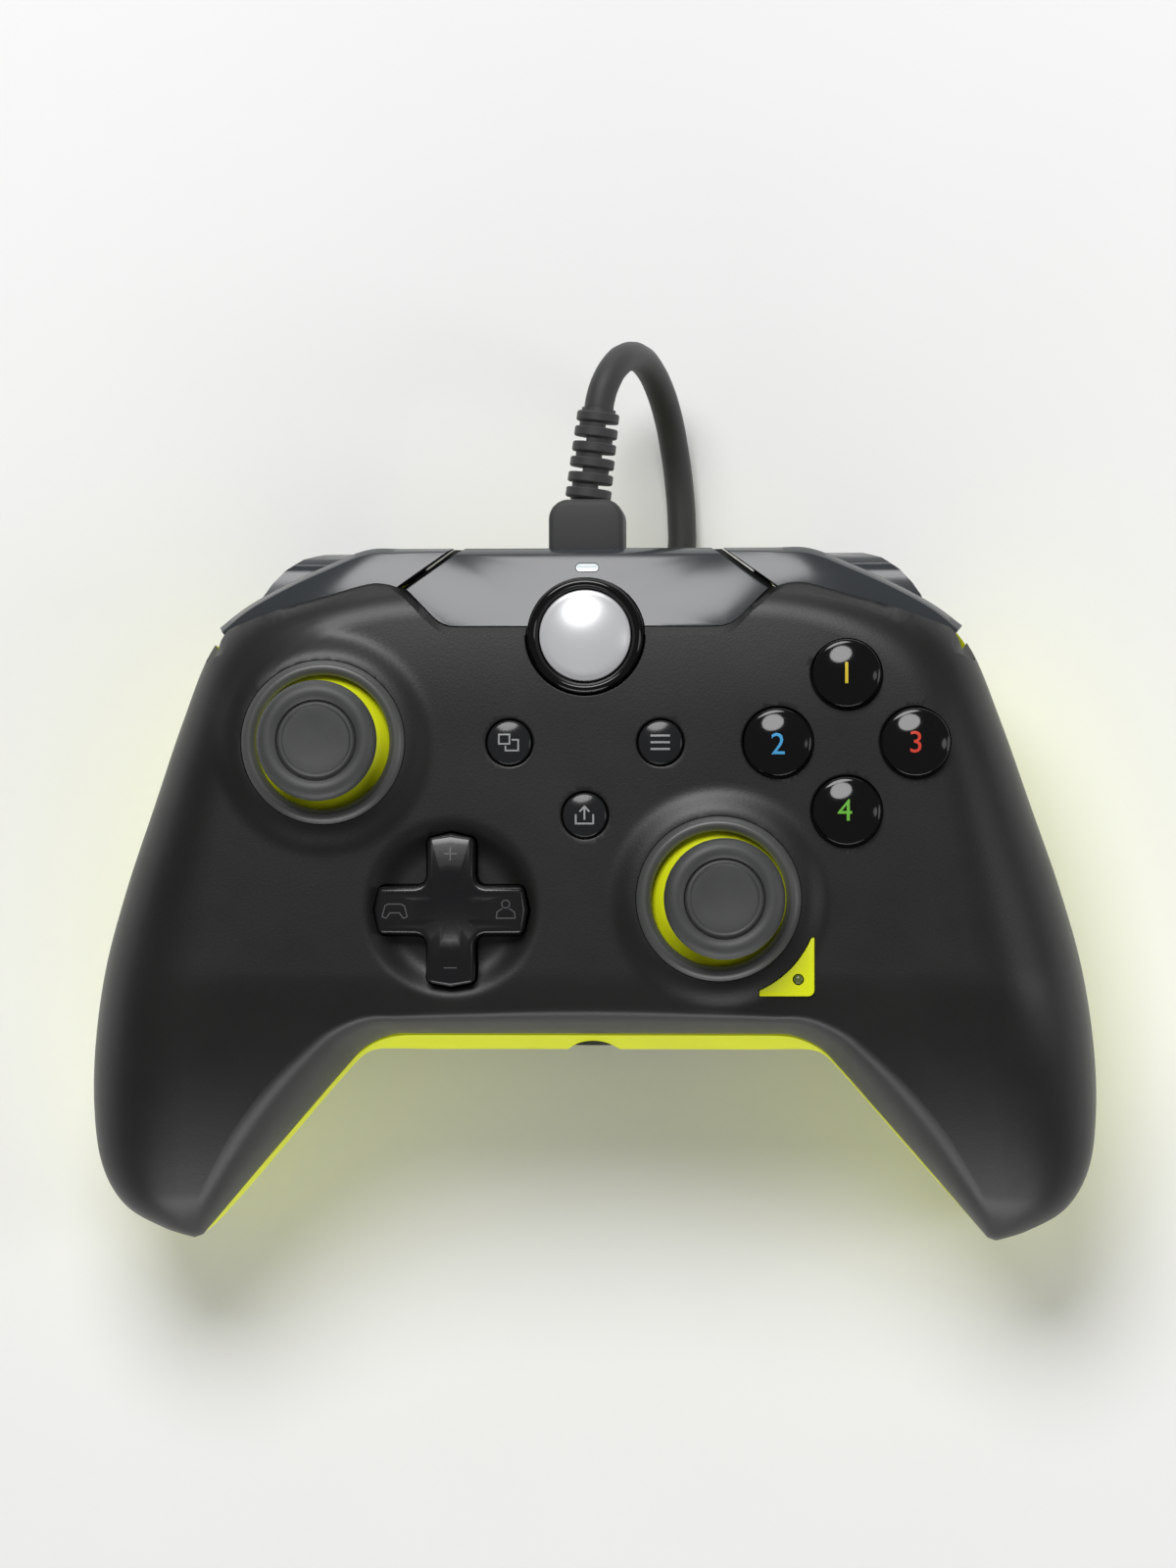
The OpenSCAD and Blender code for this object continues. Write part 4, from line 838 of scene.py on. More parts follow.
@dataclass(frozen=True)
class ShellForm:
    """The casing's surfaces as formulas: a loft from one grip's tip to the other's."""

    face_z: float = 50
    belly_z: float = 16.5
    part_z: float = 33.5
    part_slope: float = 0.11
    wall: float = 2.2
    mound_h: float = 1.1
    mound_r: float = 16.8
    bowl_at: Point = (-20, -2.5)
    bowl_r: float = 13.3
    bowl_depth: float = 2.0
    sticks: tuple[Point, Point] = ((-39.2, 22.6), (20, -0.8))
    # Stations: outer edge x, y, inner edge x, y, rounding outside and inside, bulge of the rear
    stations: tuple[tuple[float, ...], ...] = (
        (61.6, -53.0, 60.2, -52.5, 1, 1, 0.2),
        (66.5, -51.4, 57.9, -49.8, 4, 3, 0.3),
        (72.2, -48.0, 55.0, -46.4, 9, 5, 0.5),
        (75.6, -42.0, 51.6, -42.4, 13, 6, 0.6),
        (76.7, -33.5, 47.0, -37.1, 15, 7, 0.6),
        (76.3, -23.0, 42.3, -31.7, 16, 7, 0.6),
        (74.4, -11.0, 38.0, -26.8, 16, 6, 0.6),
        (71.0, 1.0, 34.8, -23.5, 16, 5, 0.9),
        (66.8, 13.0, 30.5, -21.6, 15, 4.5, 2.5),
        (62.2, 26.0, 26.0, -21.4, 14, 4, 2.8),
        (57.6, 37.0, 21.5, -21.4, 13, 4, 2.8),
        (52.0, 43.0, 17.5, -21.4, 11, 4, 2.8),
        (43.0, 46.8, 13.5, -21.4, 9, 4, 2.8),
        (32.0, 49.0, 10.0, -21.4, 8, 4, 2.8),
        (21.0, 49.6, 6.6, -21.4, 8, 4, 2.8),
        (10.5, 49.6, 3.3, -21.4, 8, 4, 2.8),
        (0.0, 49.6, 0.0, -21.4, 8, 4, 2.8),
    )

    def parting(self, y: float) -> float:
        """Height of the seam between the shells."""
        return self.part_z + self.part_slope * y

    def face(self, x: float, y: float) -> float:
        """Height of the face, without its mounds and bowl.

        Args:
            x: place across.
            y: place along.

        Returns:
            The height.
        """
        grip = clamp((-12 - y) / 41, 0, 1)
        brow = clamp((y - 25) / 22, 0, 1.2)
        return self.face_z - 17 * grip**1.6 - (abs(x) / 75) ** 2 - 1.3 * brow * brow

    def belly(self, x: float, y: float) -> float:
        """Height of the underside."""
        return self.belly_z * (1 - smooth((abs(x) - 38) / 16) * (0.4 + 0.6 * smooth((-2 - y) / 22)))

    def relief(self, x: float, y: float, z: float) -> float:
        """Height of the face with the mounds round the sticks and the pad's bowl.

        Args:
            x: place across.
            y: place along.
            z: its height without them.

        Returns:
            The height.
        """
        for sx, sy in self.sticks:
            share = smooth((self.mound_r - math.dist((x, y), (sx, sy))) / 4.4)
            z = mix(z, self.face_z + self.mound_h, share)
        near = math.dist((x, y), self.bowl_at)
        k = clamp((near - 8.4) / (self.bowl_r + 0.2 - 8.4), 0, 1) ** 1.25
        return z - self.bowl_depth * (1 - smooth(k))

    def row(self, t: float, inset: float) -> tuple[Vector, Vector, Vector, float, Sequence[float]]:
        """A section's two edges, the way from one to the other, its length and its station row.

        Args:
            t: the section's place, counted in stations.
            inset: how far inside the surface it lies.

        Returns:
            Outer edge, inner edge, way, length and row.
        """
        r = curve(self.stations, t)
        o, i = Vector(r[0:2]), Vector(r[2:4])
        span = (i - o).length
        way = (i - o) / span
        m = min(inset, 0.45 * span)
        return o + way * m, i - way * m, way, span - 2 * m, r

    def fullness(self, t: float, inset: float) -> float:
        """How full the section is, closing round the grip's tip."""
        k = clamp((t - 0.55 * inset) / 2.3, 0.012, 1)
        return math.sqrt(1 - (1 - k) ** 2)

    def spots(self, near: float, far: float, span: float, arc: int, flat: int) -> list[Point]:
        """Places across a section and their rise: a rounding, a flat stretch and a rounding.

        Args:
            near: radius of the first rounding.
            far: radius of the second one.
            span: length of the section.
            arc: steps in a rounding.
            flat: steps between them.

        Returns:
            The places, each with its rise from 0 to 1.
        """
        turn = [math.radians(90 * k / arc) for k in range(arc + 1)]
        return (
            [(near * (1 - math.cos(a)), math.sin(a)) for a in turn]
            + [(mix(near, span - far, k / flat), 1.0) for k in range(1, flat)]
            + [(span - far * (1 - math.cos(a)), math.sin(a)) for a in reversed(turn)]
        )

    def face_arc(self, t: float, inset: float, arc: int, flat: int, hand: int = 1) -> list[Vector]:
        """Points of the face side of a section, from the outer edge to the inner one.

        Args:
            t: the section's place, counted in stations.
            inset: how far inside the surface it lies.
            arc: steps in a rounding.
            flat: steps between the roundings.
            hand: 1 on the right, -1 on the left, where the mounds and the bowl differ.

        Returns:
            The points.
        """
        o, _, way, span, r = self.row(t, inset)
        f = self.fullness(t, inset)
        ro = min(max(r[4] - inset, 1), 0.55 * span)
        ri = min(max(r[5] - inset, 1), 0.4 * span)
        made = []
        for along, rise in self.spots(ro, ri, span, arc, flat):
            p = o + way * along
            base = self.parting(p.y)
            z = base + (self.face(p.x, p.y) - inset - base) * rise * f
            x = hand * p.x
            made.append(Vector((x, p.y, z if inset else self.relief(x, p.y, z))))
        return made

    def rear_arc(self, t: float, inset: float, arc: int, flat: int) -> list[Vector]:
        """Points of the rear side of a section, from the inner edge to the outer one.

        Args:
            t: the section's place, counted in stations.
            inset: how far inside the surface it lies.
            arc: steps in a rounding.
            flat: steps between the roundings.

        Returns:
            The points.
        """
        o, inner, way, _, r = self.row(t, inset)
        f = self.fullness(t, inset)
        down = Vector((0, -1))
        out = down if t > 7.5 else way.lerp(down, t - 6.5) if t > 6.5 else way
        i = inner + out * (r[6] * f)
        span = (i - o).length
        back = (o - i) / span
        grip = 1 - smooth((t - 5) / 3)
        ri = max(min(mix(7, 0.5 * span, grip), 0.5 * span) - inset, 0.5)
        ro = max(min(mix(9, 0.5 * span, grip), 0.5 * span) - inset, 0.5)
        made = [Vector((inner.x, inner.y, self.parting(inner.y)))]
        for along, rise in self.spots(ri, ro, span, arc, flat):
            p = i + back * along
            base = self.parting(p.y) - 4.5 * f * clamp(1 - along / span, 0, 1)
            made.append(Vector((p.x, p.y, base - (base - self.belly(p.x, p.y) - inset) * rise * f)))
        return made

    def body(self, rear: bool, inset: float, rows: int, arc: int, flat: int, skirt: float = 6) -> Form:
        """One closed half of the casing.

        Args:
            rear: the rear half, or else the face half.
            inset: how far inside the surface it lies.
            rows: sections on each side of the middle.
            arc: steps in a rounding.
            flat: steps between the roundings.
            skirt: how far it goes on past the seam.

        Returns:
            The form.
        """
        t0 = 0.55 * inset
        last = len(self.stations) - 1
        places = [t0 + (last - t0) * (k / (rows - 1)) ** 0.92 for k in range(rows)]
        past = Vector((0, 0, skirt if rear else -skirt))

        def ring(t: float, hand: int) -> list[Vector]:
            """One section with its skirt."""
            if rear:
                points = [Vector((hand * p.x, p.y, p.z)) for p in self.rear_arc(t, inset, arc, flat)]
            else:
                points = self.face_arc(t, inset, arc, flat, hand)
            return [points[0] + past, *points, points[-1] + past]

        rings = [ring(t, 1) for t in places] + [ring(t, -1) for t in reversed(places[:-1])]
        return Form().skin(rings)


@dataclass
class Casing:
    """Front and rear shell."""

    shape: ShellForm = field(default_factory=ShellForm)
    edge_flat: float = 39.85
    bevel: float = 1.3
    # Upper edge of the front shell, right half, from the middle line outwards
    edge: tuple[Point, ...] = (
        (0, 39.85), (10, 39.85), (19.0, 39.85), (21.2, 40.15), (22.7, 41.0), (24.9, 43.2), (27.0, 45.3),
        (28.6, 46.6), (30.4, 47.4), (32.4, 47.6), (34.6, 47.1), (40, 45.1), (47, 42.6), (53.6, 40.3),
        (60, 38.0), (75, 34.0), (90, 30.0),
    )
    face_spots: tuple[Point, ...] = ((39.05, 32.75), (28.8, 22.5), (49.3, 22.5), (39.05, 12.25))
    small_spots: tuple[Point, ...] = ((-11.3, 22.5), (11.3, 22.5), (0, 11.65))
    guide_y: float = 38.5
    pivot_z: float = 37.6
    screws: tuple[Triple, ...] = ((60, -38, 9), (-60, -38, 9), (57, 6, 14), (-57, 6, 14), (0, 0, 19.5))
    bay_in: float = 29.5
    bay_out: float = 51.6
    bay_wall: float = 1.4
    board_z: float = 31
    brow_y: tuple[Point, ...] = ((0, 49.6), (21, 49.6), (32, 49), (43, 46.8), (52, 43), (57.6, 37))
    brow_r: tuple[Point, ...] = ((0, 8), (32, 8), (43, 9), (52, 11), (57.6, 13))
    # Balls that a heel is drawn over: x, y, z and how much larger than the smallest
    heel_balls: tuple[tuple[float, ...], ...] = (
        (53, 16, 5, 0), (52, 27, 5, 0), (60, -8, 17, 5), (51, 12, 25, 4), (49, 33, 28, 4),
    )
    heel_r: float = 5.5
    front_steps: tuple[int, int, int] = (165, 9, 74)
    rear_steps: tuple[int, int, int] = (70, 8, 26)
    wall_steps: tuple[int, int, int] = (40, 5, 12)
    inner_steps: tuple[int, int, int] = (36, 5, 12)
    voxel: float = 0.95
    easing: int = 14
    part_gap: Point = (0.1, -0.15)

    def edge_at(self, t: float) -> Point:
        """The upper edge at t, counted in points, left of the middle where t is negative.

        Args:
            t: the place on the edge, counted in points.

        Returns:
            The point there.
        """
        x, y = curve(self.edge, abs(t))
        return (x if t >= 0 else -x), y

    def edge_z(self, x: float, y: float) -> float:
        """Height of the surface where the brow rounds down to the bumpers.

        Args:
            x: place across.
            y: place along.

        Returns:
            The height.
        """
        brow, r = lookup(abs(x), self.brow_y), lookup(abs(x), self.brow_r)
        k = clamp((brow - y) / r, 0, 1)
        base = self.shape.parting(y)
        return base + (self.shape.face(x, y) - base) * math.sqrt(1 - (1 - k) ** 2)

    def beyond_edge(self, back: float = 0, bevel: bool = True) -> bpy.types.Object:
        """What lies past the front shell's upper edge, with its wide bevel.

        Args:
            back: how far it is moved back.
            bevel: whether it takes the bevel away too.

        Returns:
            The tool shape.
        """
        rings = []
        steps = 5 * (len(self.edge) - 1)
        for k in range(-steps, steps + 1):
            x, y = self.edge_at(k / 5)
            y -= back
            q = y - self.bevel
            z = self.edge_z(x, q)
            steep = math.tan(math.radians(mix(45, 68, smooth((y - 42) / 2))))
            low, high = (z - self.bevel * steep, z + 2.2 * steep) if bevel else (30, 90)
            inner = y - 3.5 if bevel else y
            rings.append([
                Vector((x, 90, 95)), Vector((x, 90, -20)), Vector((x, y, -20)),
                Vector((x, y, low)), Vector((x, inner, high)), Vector((x, inner, 95)),
            ])
        return Form().skin(rings).done("beyond_edge")

    def beside_parting(self, lift: float, low: float, high: float) -> bpy.types.Object:
        """A slab along the seam.

        Args:
            lift: how far the seam is moved up.
            low: the slab's foot above the seam.
            high: its top above the seam.

        Returns:
            The slab.
        """
        place = Matrix.Translation((0, 0, self.shape.part_z + lift)) @ Matrix.Rotation(
            math.atan(self.shape.part_slope), 4, "X")
        return Form().block((-100, -100, low), (100, 100, high), place).done("beside_parting")

    def below_parting(self, lift: float) -> bpy.types.Object:
        """What lies under the seam, moved up by lift."""
        return self.beside_parting(lift, -70, 0)

    def above_parting(self, lift: float) -> bpy.types.Object:
        """What lies over the seam, moved up by lift."""
        return self.beside_parting(lift, 0, 70)

    def hole(self, form: Form, at: Point, r: float, lip: float = 0.35) -> None:
        """Adds a round hole's tool, its mouth a little rounded.

        Args:
            form: what it is added to.
            at: the hole's middle.
            r: its radius.
            lip: the radius of its mouth's rounding.
        """
        top = self.shape.face(*at)
        mouth = [
            (r + lip * (1 - math.cos(math.radians(a))), top - lip + lip * math.sin(math.radians(a)))
            for a in (0, 30, 60, 90)
        ]
        form.lathe([(0, 26), (r, 26), *mouth, (r + lip, 70), (0, 70)], at=(*at, 0), steps=64)

    def front(self) -> bpy.types.Object:
        """The front shell.

        Returns:
            The finished piece.
        """
        s = self.shape
        piece = s.body(False, 0, *self.front_steps).done("front_shell_fine")
        hollow = s.body(False, s.wall, *self.wall_steps, skirt=9).done("hollow")
        carve(hollow, Carve.AWAY, self.beyond_edge(back=4.4, bevel=False))
        carve(piece, Carve.AWAY, self.below_parting(self.part_gap[0]), self.beyond_edge(), hollow)
        tools = Form()
        for at in self.face_spots:
            self.hole(tools, at, 5.28)
        for at in self.small_spots:
            self.hole(tools, at, 3.5)
        self.hole(tools, (0, self.guide_y), 8.95, 0.2)
        carve(piece, Carve.AWAY, tools.done("key_holes"))
        seats = Form()
        for x, y in s.sticks:
            seats.lathe([(0, 20), (11.9, 20), (11.9, 50), (12.4, 50), (12.4, 80), (0, 80)],
                        at=(x, y, 0))
        carve(piece, Carve.AWAY, seats.done("seats"))
        cups = Form()
        for x, y in s.sticks:
            arc = [(16.8 * math.cos(a / 10), 16.8 * math.sin(a / 10)) for a in range(0, 9)]
            cups.lathe([(0, 0), *arc, (0, 14)], at=(x, y, self.pivot_z))
        carve(piece, Carve.AWAY, cups.done("cups"))
        carve(piece, Carve.AWAY, CrossPad().opening(0.4), Inlay().recess(0.1))
        carve(piece, Carve.AWAY, Shoulders().pocket(Side.RIGHT), Shoulders().pocket(Side.LEFT))
        return Dress(SHELL, "shell_dark", replaces=("front_shell",), above=30).put(piece)

    def heels(self, inset: float) -> bpy.types.Object:
        """The two heels that the front end rests on, beside the triggers.

        Args:
            inset: how far inside the surface they lie.

        Returns:
            The heels.
        """
        form = Form()
        r = self.heel_r - inset
        for s in (1, -1):
            before = set(form.bm.verts)
            for x, y, z, more in self.heel_balls:
                bmesh.ops.create_uvsphere(
                    form.bm, u_segments=28, v_segments=18, radius=r + more,
                    matrix=Matrix.Translation((s * x, y, z)),
                )
            made = [v for v in form.bm.verts if v not in before]
            edges = [e for v in made for e in v.link_edges]
            bmesh.ops.delete(form.bm, geom=list(set(edges)), context="EDGES_FACES")
            hull = bmesh.ops.convex_hull(form.bm, input=made)
            inside = [v for v in hull["geom_interior"] if isinstance(v, bmesh.types.BMVert)]
            bmesh.ops.delete(form.bm, geom=inside, context="VERTS")
        piece = form.done("heels")
        floor = Form().block((-100, -60, -30), (100, 90, inset)).done("under_heels")
        return carve(piece, Carve.AWAY, floor)

    def bay(self, grow: float, s: int) -> bpy.types.Object:
        """The room of one trigger, grown on every side.

        Args:
            grow: how far it is grown.
            s: 1 on the right, -1 on the left.

        Returns:
            The tool shape.
        """
        low_y, high_y, top = 37.4 - grow, 75, 65
        corner = (28.5 - grow, self.board_z - 2.5 + grow)
        side = [(high_y, top), (low_y, top), (low_y, corner[1]), (28.5 - grow, 4),
                (28.5 - grow, -12 - grow),
                (high_y, -12 - grow)]
        place = Matrix(((0, 0, 1, 0), (1, 0, 0, 0), (0, 1, 0, 0), (0, 0, 0, 1)))
        low, high = sorted((s * (self.bay_in - grow), s * (self.bay_out + grow)))
        return Form().prism(side, low, high, place).done("bay")

    def rear(self) -> bpy.types.Object:
        """The rear shell, its heels run softly into its belly.

        Returns:
            The finished piece.
        """
        s = self.shape
        piece = s.body(True, 0, *self.rear_steps).done("rear_shell_fine")
        carve(piece, Carve.WITH, self.heels(0))
        remesh = piece.modifiers.new("remesh", "REMESH")
        remesh.mode = "VOXEL"
        remesh.voxel_size = self.voxel * MM
        ease = piece.modifiers.new("ease", "SMOOTH")
        ease.factor = 0.5
        ease.iterations = self.easing
        settle(piece)
        for v in piece.data.vertices:
            v.co.z = max(v.co.z, 0)
        hollow = s.body(True, s.wall, *self.inner_steps, skirt=9).done("rear_hollow")
        carve(hollow, Carve.WITH, self.heels(s.wall))
        core = s.body(True, s.wall / 2, *self.inner_steps).done("core")
        carve(core, Carve.WITH, self.heels(s.wall / 2))
        carve(piece, Carve.AWAY, self.above_parting(self.part_gap[1]), hollow)
        walls = self.bay(self.bay_wall, 1)
        carve(walls, Carve.WITH, self.bay(self.bay_wall, -1))
        carve(walls, Carve.ONLY, core)
        carve(walls, Carve.AWAY, self.above_parting(-0.2))
        carve(piece, Carve.WITH, walls)
        carve(piece, Carve.AWAY, self.bay(0, 1), self.bay(0, -1))
        tools = Form()
        for x, y, z in self.screws:
            tools.lathe([(0, -5), (3.1, -5), (3.1, 0), (2.8, z + 2), (1.35, z + 2), (1.35, 60),
                         (0, 60)],
                        at=(x, y, 0), steps=40)
        tools.rod((0, -30, 25), (0, -18, 25), 4.1, 40)
        carve(piece, Carve.AWAY, tools.done("rear_holes"))
        cut = Form().block((-28.1, 46.5, 21.5), (28.1, 66.5, 61.5))
        carve(piece, Carve.AWAY, cut.done("panel_room"))
        for s_ in (1, -1):
            low, high = sorted((s_ * 27.1, s_ * 37.1))
            carve(piece, Carve.AWAY, Form().block((low, 46.4, 34.9),
                                                  (high, 66.4, 54.9)).done("corner_room"))
        plan = [(54, 40.4), (60, 37.9), (70, 33.0), (72, 60), (54, 60)]
        for side in Side:
            flip = Matrix.Diagonal((side.value, 1, 1, 1))
            carve(piece, Carve.AWAY, Form().prism(plan, 34.2, 60).turned(flip).done("shoulder_room"))
            carve(piece, Carve.AWAY, Shoulders().pocket(side, 33.6))
        return Dress(LIME, "lime", replaces=("rear_shell",), above=38).put(piece)

    def build(self) -> None:
        """Builds both shells."""
        self.front()
        self.rear()


@dataclass
class Shoulders:
    """Centre panel, its light window, bumpers and triggers."""

    front: float = 52.1
    top_z: float = 46.8
    fall: float = 0.28
    low_z: float = 22.5
    wall: float = 2.2
    inner: tuple[Point, ...] = (
        (29.4, 45.5), (31, 45.9), (33, 45.9), (35, 45.4), (41, 43.3), (47, 41.1), (52, 39.3),
        (54.6, 38.2),
    )
    outer: tuple[Point, ...] = (
        (20.4, 52.1), (24, 52.1), (28, 52.1), (33.5, 52.0), (40, 49.5), (46, 46.8), (52, 43.6),
        (56.4, 40.4),
    )
    low: float = 38.9
    pin: Point = (29.2, 48.5)
    trigger_at: Point = (41.5, 31)
    trigger_side: tuple[Point, ...] = (
        (0, 3.4), (5.5, 3.6), (8.8, 2.4), (10.4, -0.8), (10.7, -5), (10, -10.5), (9.4, -16), (10, -22),
        (10.9, -26), (10.2, -28), (8.4, -27.6), (6, -23), (3.6, -16.5), (1.2, -9), (-1.6, -5),
        (-3.2, -1.6),
    )
    trigger_hollow: tuple[Point, ...] = (
        (0.5, -4.2), (8.2, -3.6), (8.7, -5.5), (8, -10.5), (7.4, -16), (7.8, -21.5), (5.5, -22.4),
        (-6, -22.4), (-6, -5.5),
    )
    trigger_plan: tuple[Point, ...] = (
        (31, 30), (50.8, 30), (50.8, 43.5), (50.2, 45.3), (48.8, 47.3), (46.8, 49.4), (44.2, 51.2),
        (41, 52.2), (31, 52.6),
    )

    def panel_z(self, y: float) -> float:
        """Height of the panel's top."""
        return self.top_z - self.fall * (y - 40)

    def bumper_z(self, p: Vector) -> float:
        """Height of a bumper's top."""
        return self.panel_z(p.y) - 6.5 * (max(p.x - 27, 0) / 29) ** 2

    def across_x(self, outline: Sequence[Point], low: float, high: float) -> Form:
        """A prism along x, its outline given as (y, z).

        Args:
            outline: its corners.
            low: where it starts.
            high: where it ends.

        Returns:
            The form.
        """
        place = Matrix(((0, 0, 1, 0), (1, 0, 0, 0), (0, 1, 0, 0), (0, 0, 0, 1)))
        return Form().prism(outline, low, high, place)

    def panel(self) -> bpy.types.Object:
        """The glossy centre panel."""
        casing = Casing()
        f, e = self.front, casing.edge_flat
        side = [(e - 4, self.panel_z(e - 4)), (f - 1.0, self.panel_z(f - 1.0)),
                (f, self.panel_z(f) - 1.7),
                (f, self.low_z + 2), (f - 2, self.low_z), (f - 2 - self.wall, self.low_z),
                (e - 4, self.low_z)]
        piece = self.across_x(side, -40, 40).done("centre_panel_fine")
        plan = [(18.6, 52.1), (18.6, 60), (-18.6, 60), (-18.6, 52.1), (-27.4, 45.7), (-27.4, 30),
                (27.4, 30),
                (27.4, 45.7)]
        carve(piece, Carve.ONLY, Form().prism(plan, 0, 80).done("panel_plan"))
        hollow = [(30, 0), (f - 4, 0), (f - self.wall, self.low_z + 2),
                  (f - self.wall, self.panel_z(51) - 3.2),
                  (e + 1.2, self.panel_z(e + 1.2) - self.wall), (e + 1.2, 37.3), (30, 37.3)]
        carve(piece, Carve.AWAY, self.across_x(hollow, -45, 45).done("panel_hollow"))
        edge = [casing.edge_at(k / 5) for k in range(-60, 61)]
        shell = [(x, y + 0.2) for x, y in edge] + [(80, 0), (-80, 0)]
        carve(piece, Carve.AWAY, Form().prism(shell, -5, 90).done("shell_plan"))
        soften(piece, 0.28, 3, 28)
        holes = Form().lathe([(0, 0), (8.95, 0), (8.95, 90), (0, 90)], at=(0, 38.5, 0), steps=96)
        holes.block((-6.5, 47.1, 27.6), (5.3, 57.1, 37.6))
        carve(piece, Carve.AWAY, holes.done("panel_holes"))
        carve(piece, Carve.AWAY, Form().prism(self.pill(0.12), 30, 60).done("pill_hole"))
        return Dress(PANEL, "gloss_grey", replaces=("centre_panel",)).put(piece)

    def slit_shade_liner(self, side: Side) -> bpy.types.Object:
        """Painted shade: a dark ledge in the shell's finish under the slit beside a bumper, so the slit
        reads dark.

        Args:
            side: the side that it is on.

        Returns:
            The finished piece.
        """
        plan = [(17.6, 51.6), (17.9, 51.9), (20.2, 51.95), (29.15, 45.4), (26.8, 44.6)]
        flip = Matrix.Diagonal((side.value, 1, 1, 1))
        piece = Form().prism(plan, 37.8, 41.2).turned(flip).done(f"{side.word}_slit_ledge")
        # painted shade: the dark shell finish on this ledge darkens the slit beside the bumper
        return Dress(SHELL, "gloss_grey").put(piece)

    def pill(self, grow: float = 0) -> list[Point]:
        """The light window's outline.

        Args:
            grow: how far it is grown.

        Returns:
            Its points.
        """
        r = 0.58 + grow
        return [
            (side * 1.1 + r * math.cos(a), 49 + r * math.sin(a))
            for side, start in ((1, -90), (-1, 90))
            for a in (math.radians(start + 15 * k) for k in range(13))
        ]

    def window(self) -> bpy.types.Object:
        """The pill-shaped light window, a little crowned, in a dark sleeve."""
        top = self.panel_z(49) + 0.12
        piece = Form().prism(self.pill(), 39, top).rounded(0.22, 3, 60).done("light_window")
        Dress(CLEAR, "clear").put(piece)
        sleeve = Form().prism(self.pill(0.12), 39, top - 0.25)
        return Dress(BLACK, "black_gloss").put(sleeve.done("window_sleeve"))

    def bumper_ring(self, t: float, inset: float) -> list[Vector]:
        """A bumper's section at t.

        Args:
            t: the place along the bumper, counted in points.
            inset: how far inside the surface it lies.

        Returns:
            The section's ring.
        """
        a0, b0 = Vector(curve(self.inner, t)), Vector(curve(self.outer, t))
        way = (b0 - a0).normalized()
        a, b = a0 + way * inset, b0 - way * inset
        wide = (b - a).length
        c = b - way * min(1.0, 0.4 * wide)
        d = b - way * min(1.6, 0.5 * wide)
        deep = 8 if inset else 0
        heights = (
            (a, self.bumper_z(a) - inset), (c, self.bumper_z(c) - inset),
            (b, self.bumper_z(b) - 1.7 - inset), (b, self.low - 2.4 - deep), (d, self.low - 2.8 - deep),
            (a, self.low - deep),
        )
        return [Vector((p.x, p.y, z)) for p, z in heights]

    def pocket(self, side: Side, foot: float = 20) -> bpy.types.Object:
        """The room that a bumper needs in the shells, from foot upwards.

        Args:
            side: the side that it is on.
            foot: the height where it starts.

        Returns:
            The tool shape.
        """
        rings = []
        steps = 20
        for k in range(-1, steps + 1):
            t = 7 * clamp(k, 0, steps - 1) / (steps - 1)
            a0, b0 = Vector(curve(self.inner, t)), Vector(curve(self.outer, t))
            way = (b0 - a0).normalized()
            a = a0 - Vector((0, 0.35 + 1.5 * t / 7))
            b = b0 + way * 3 + Vector((0.8 * t / 7, 0))
            more = Vector((-1.2, 0.9, 0)) if k < 0 else Vector((1.1, -0.5,
                    0)) if k >= steps else Vector()
            rings.append([
                Vector((p.x * side.value, p.y, z)) + Vector((more.x * side.value, more.y, 0))
                for p, z in ((a, self.bumper_z(a0) + 0.4), (b, self.bumper_z(b0) + 0.7), (b, foot),
                             (a, foot))
            ])
        return Form().skin(rings).done("pocket")

    def bumper(self, side: Side) -> bpy.types.Object:
        """A bumper: a glossy shell on its pin.

        Args:
            side: the side that it is on.

        Returns:
            The finished piece.
        """
        flip = Matrix.Diagonal((side.value, 1, 1, 1))
        n = 56
        form = Form().skin([self.bumper_ring(7 * k / n, 0) for k in range(n + 1)]).turned(flip)
        piece = form.done(f"{side.word}_bumper_fine")
        soften(piece, 0.3, 3, 24)
        hollow = Form().skin([self.bumper_ring(0.5 + 5.4 * k / 20, 1.8)
                              for k in range(21)]).turned(flip)
        boss = Form().lathe([(0, 39.5), (2.5, 39.5), (2.5, 49), (0, 49)],
                            at=(side.value * self.pin[0], self.pin[1], 0), steps=32).done("boss")
        tool = hollow.done("bumper_hollow")
        carve(tool, Carve.AWAY, boss)
        carve(piece, Carve.AWAY, tool)
        bore = Form().lathe([(0, 20), (1.25, 20), (1.25, 42.5), (0, 42.5)],
                            at=(side.value * self.pin[0], self.pin[1], 0), steps=32)
        carve(piece, Carve.AWAY, bore.done("bore"))
        name = f"{side.word}_bumper"
        return Dress(PANEL, "gloss_grey", body=name, replaces=(name,)).put(piece)

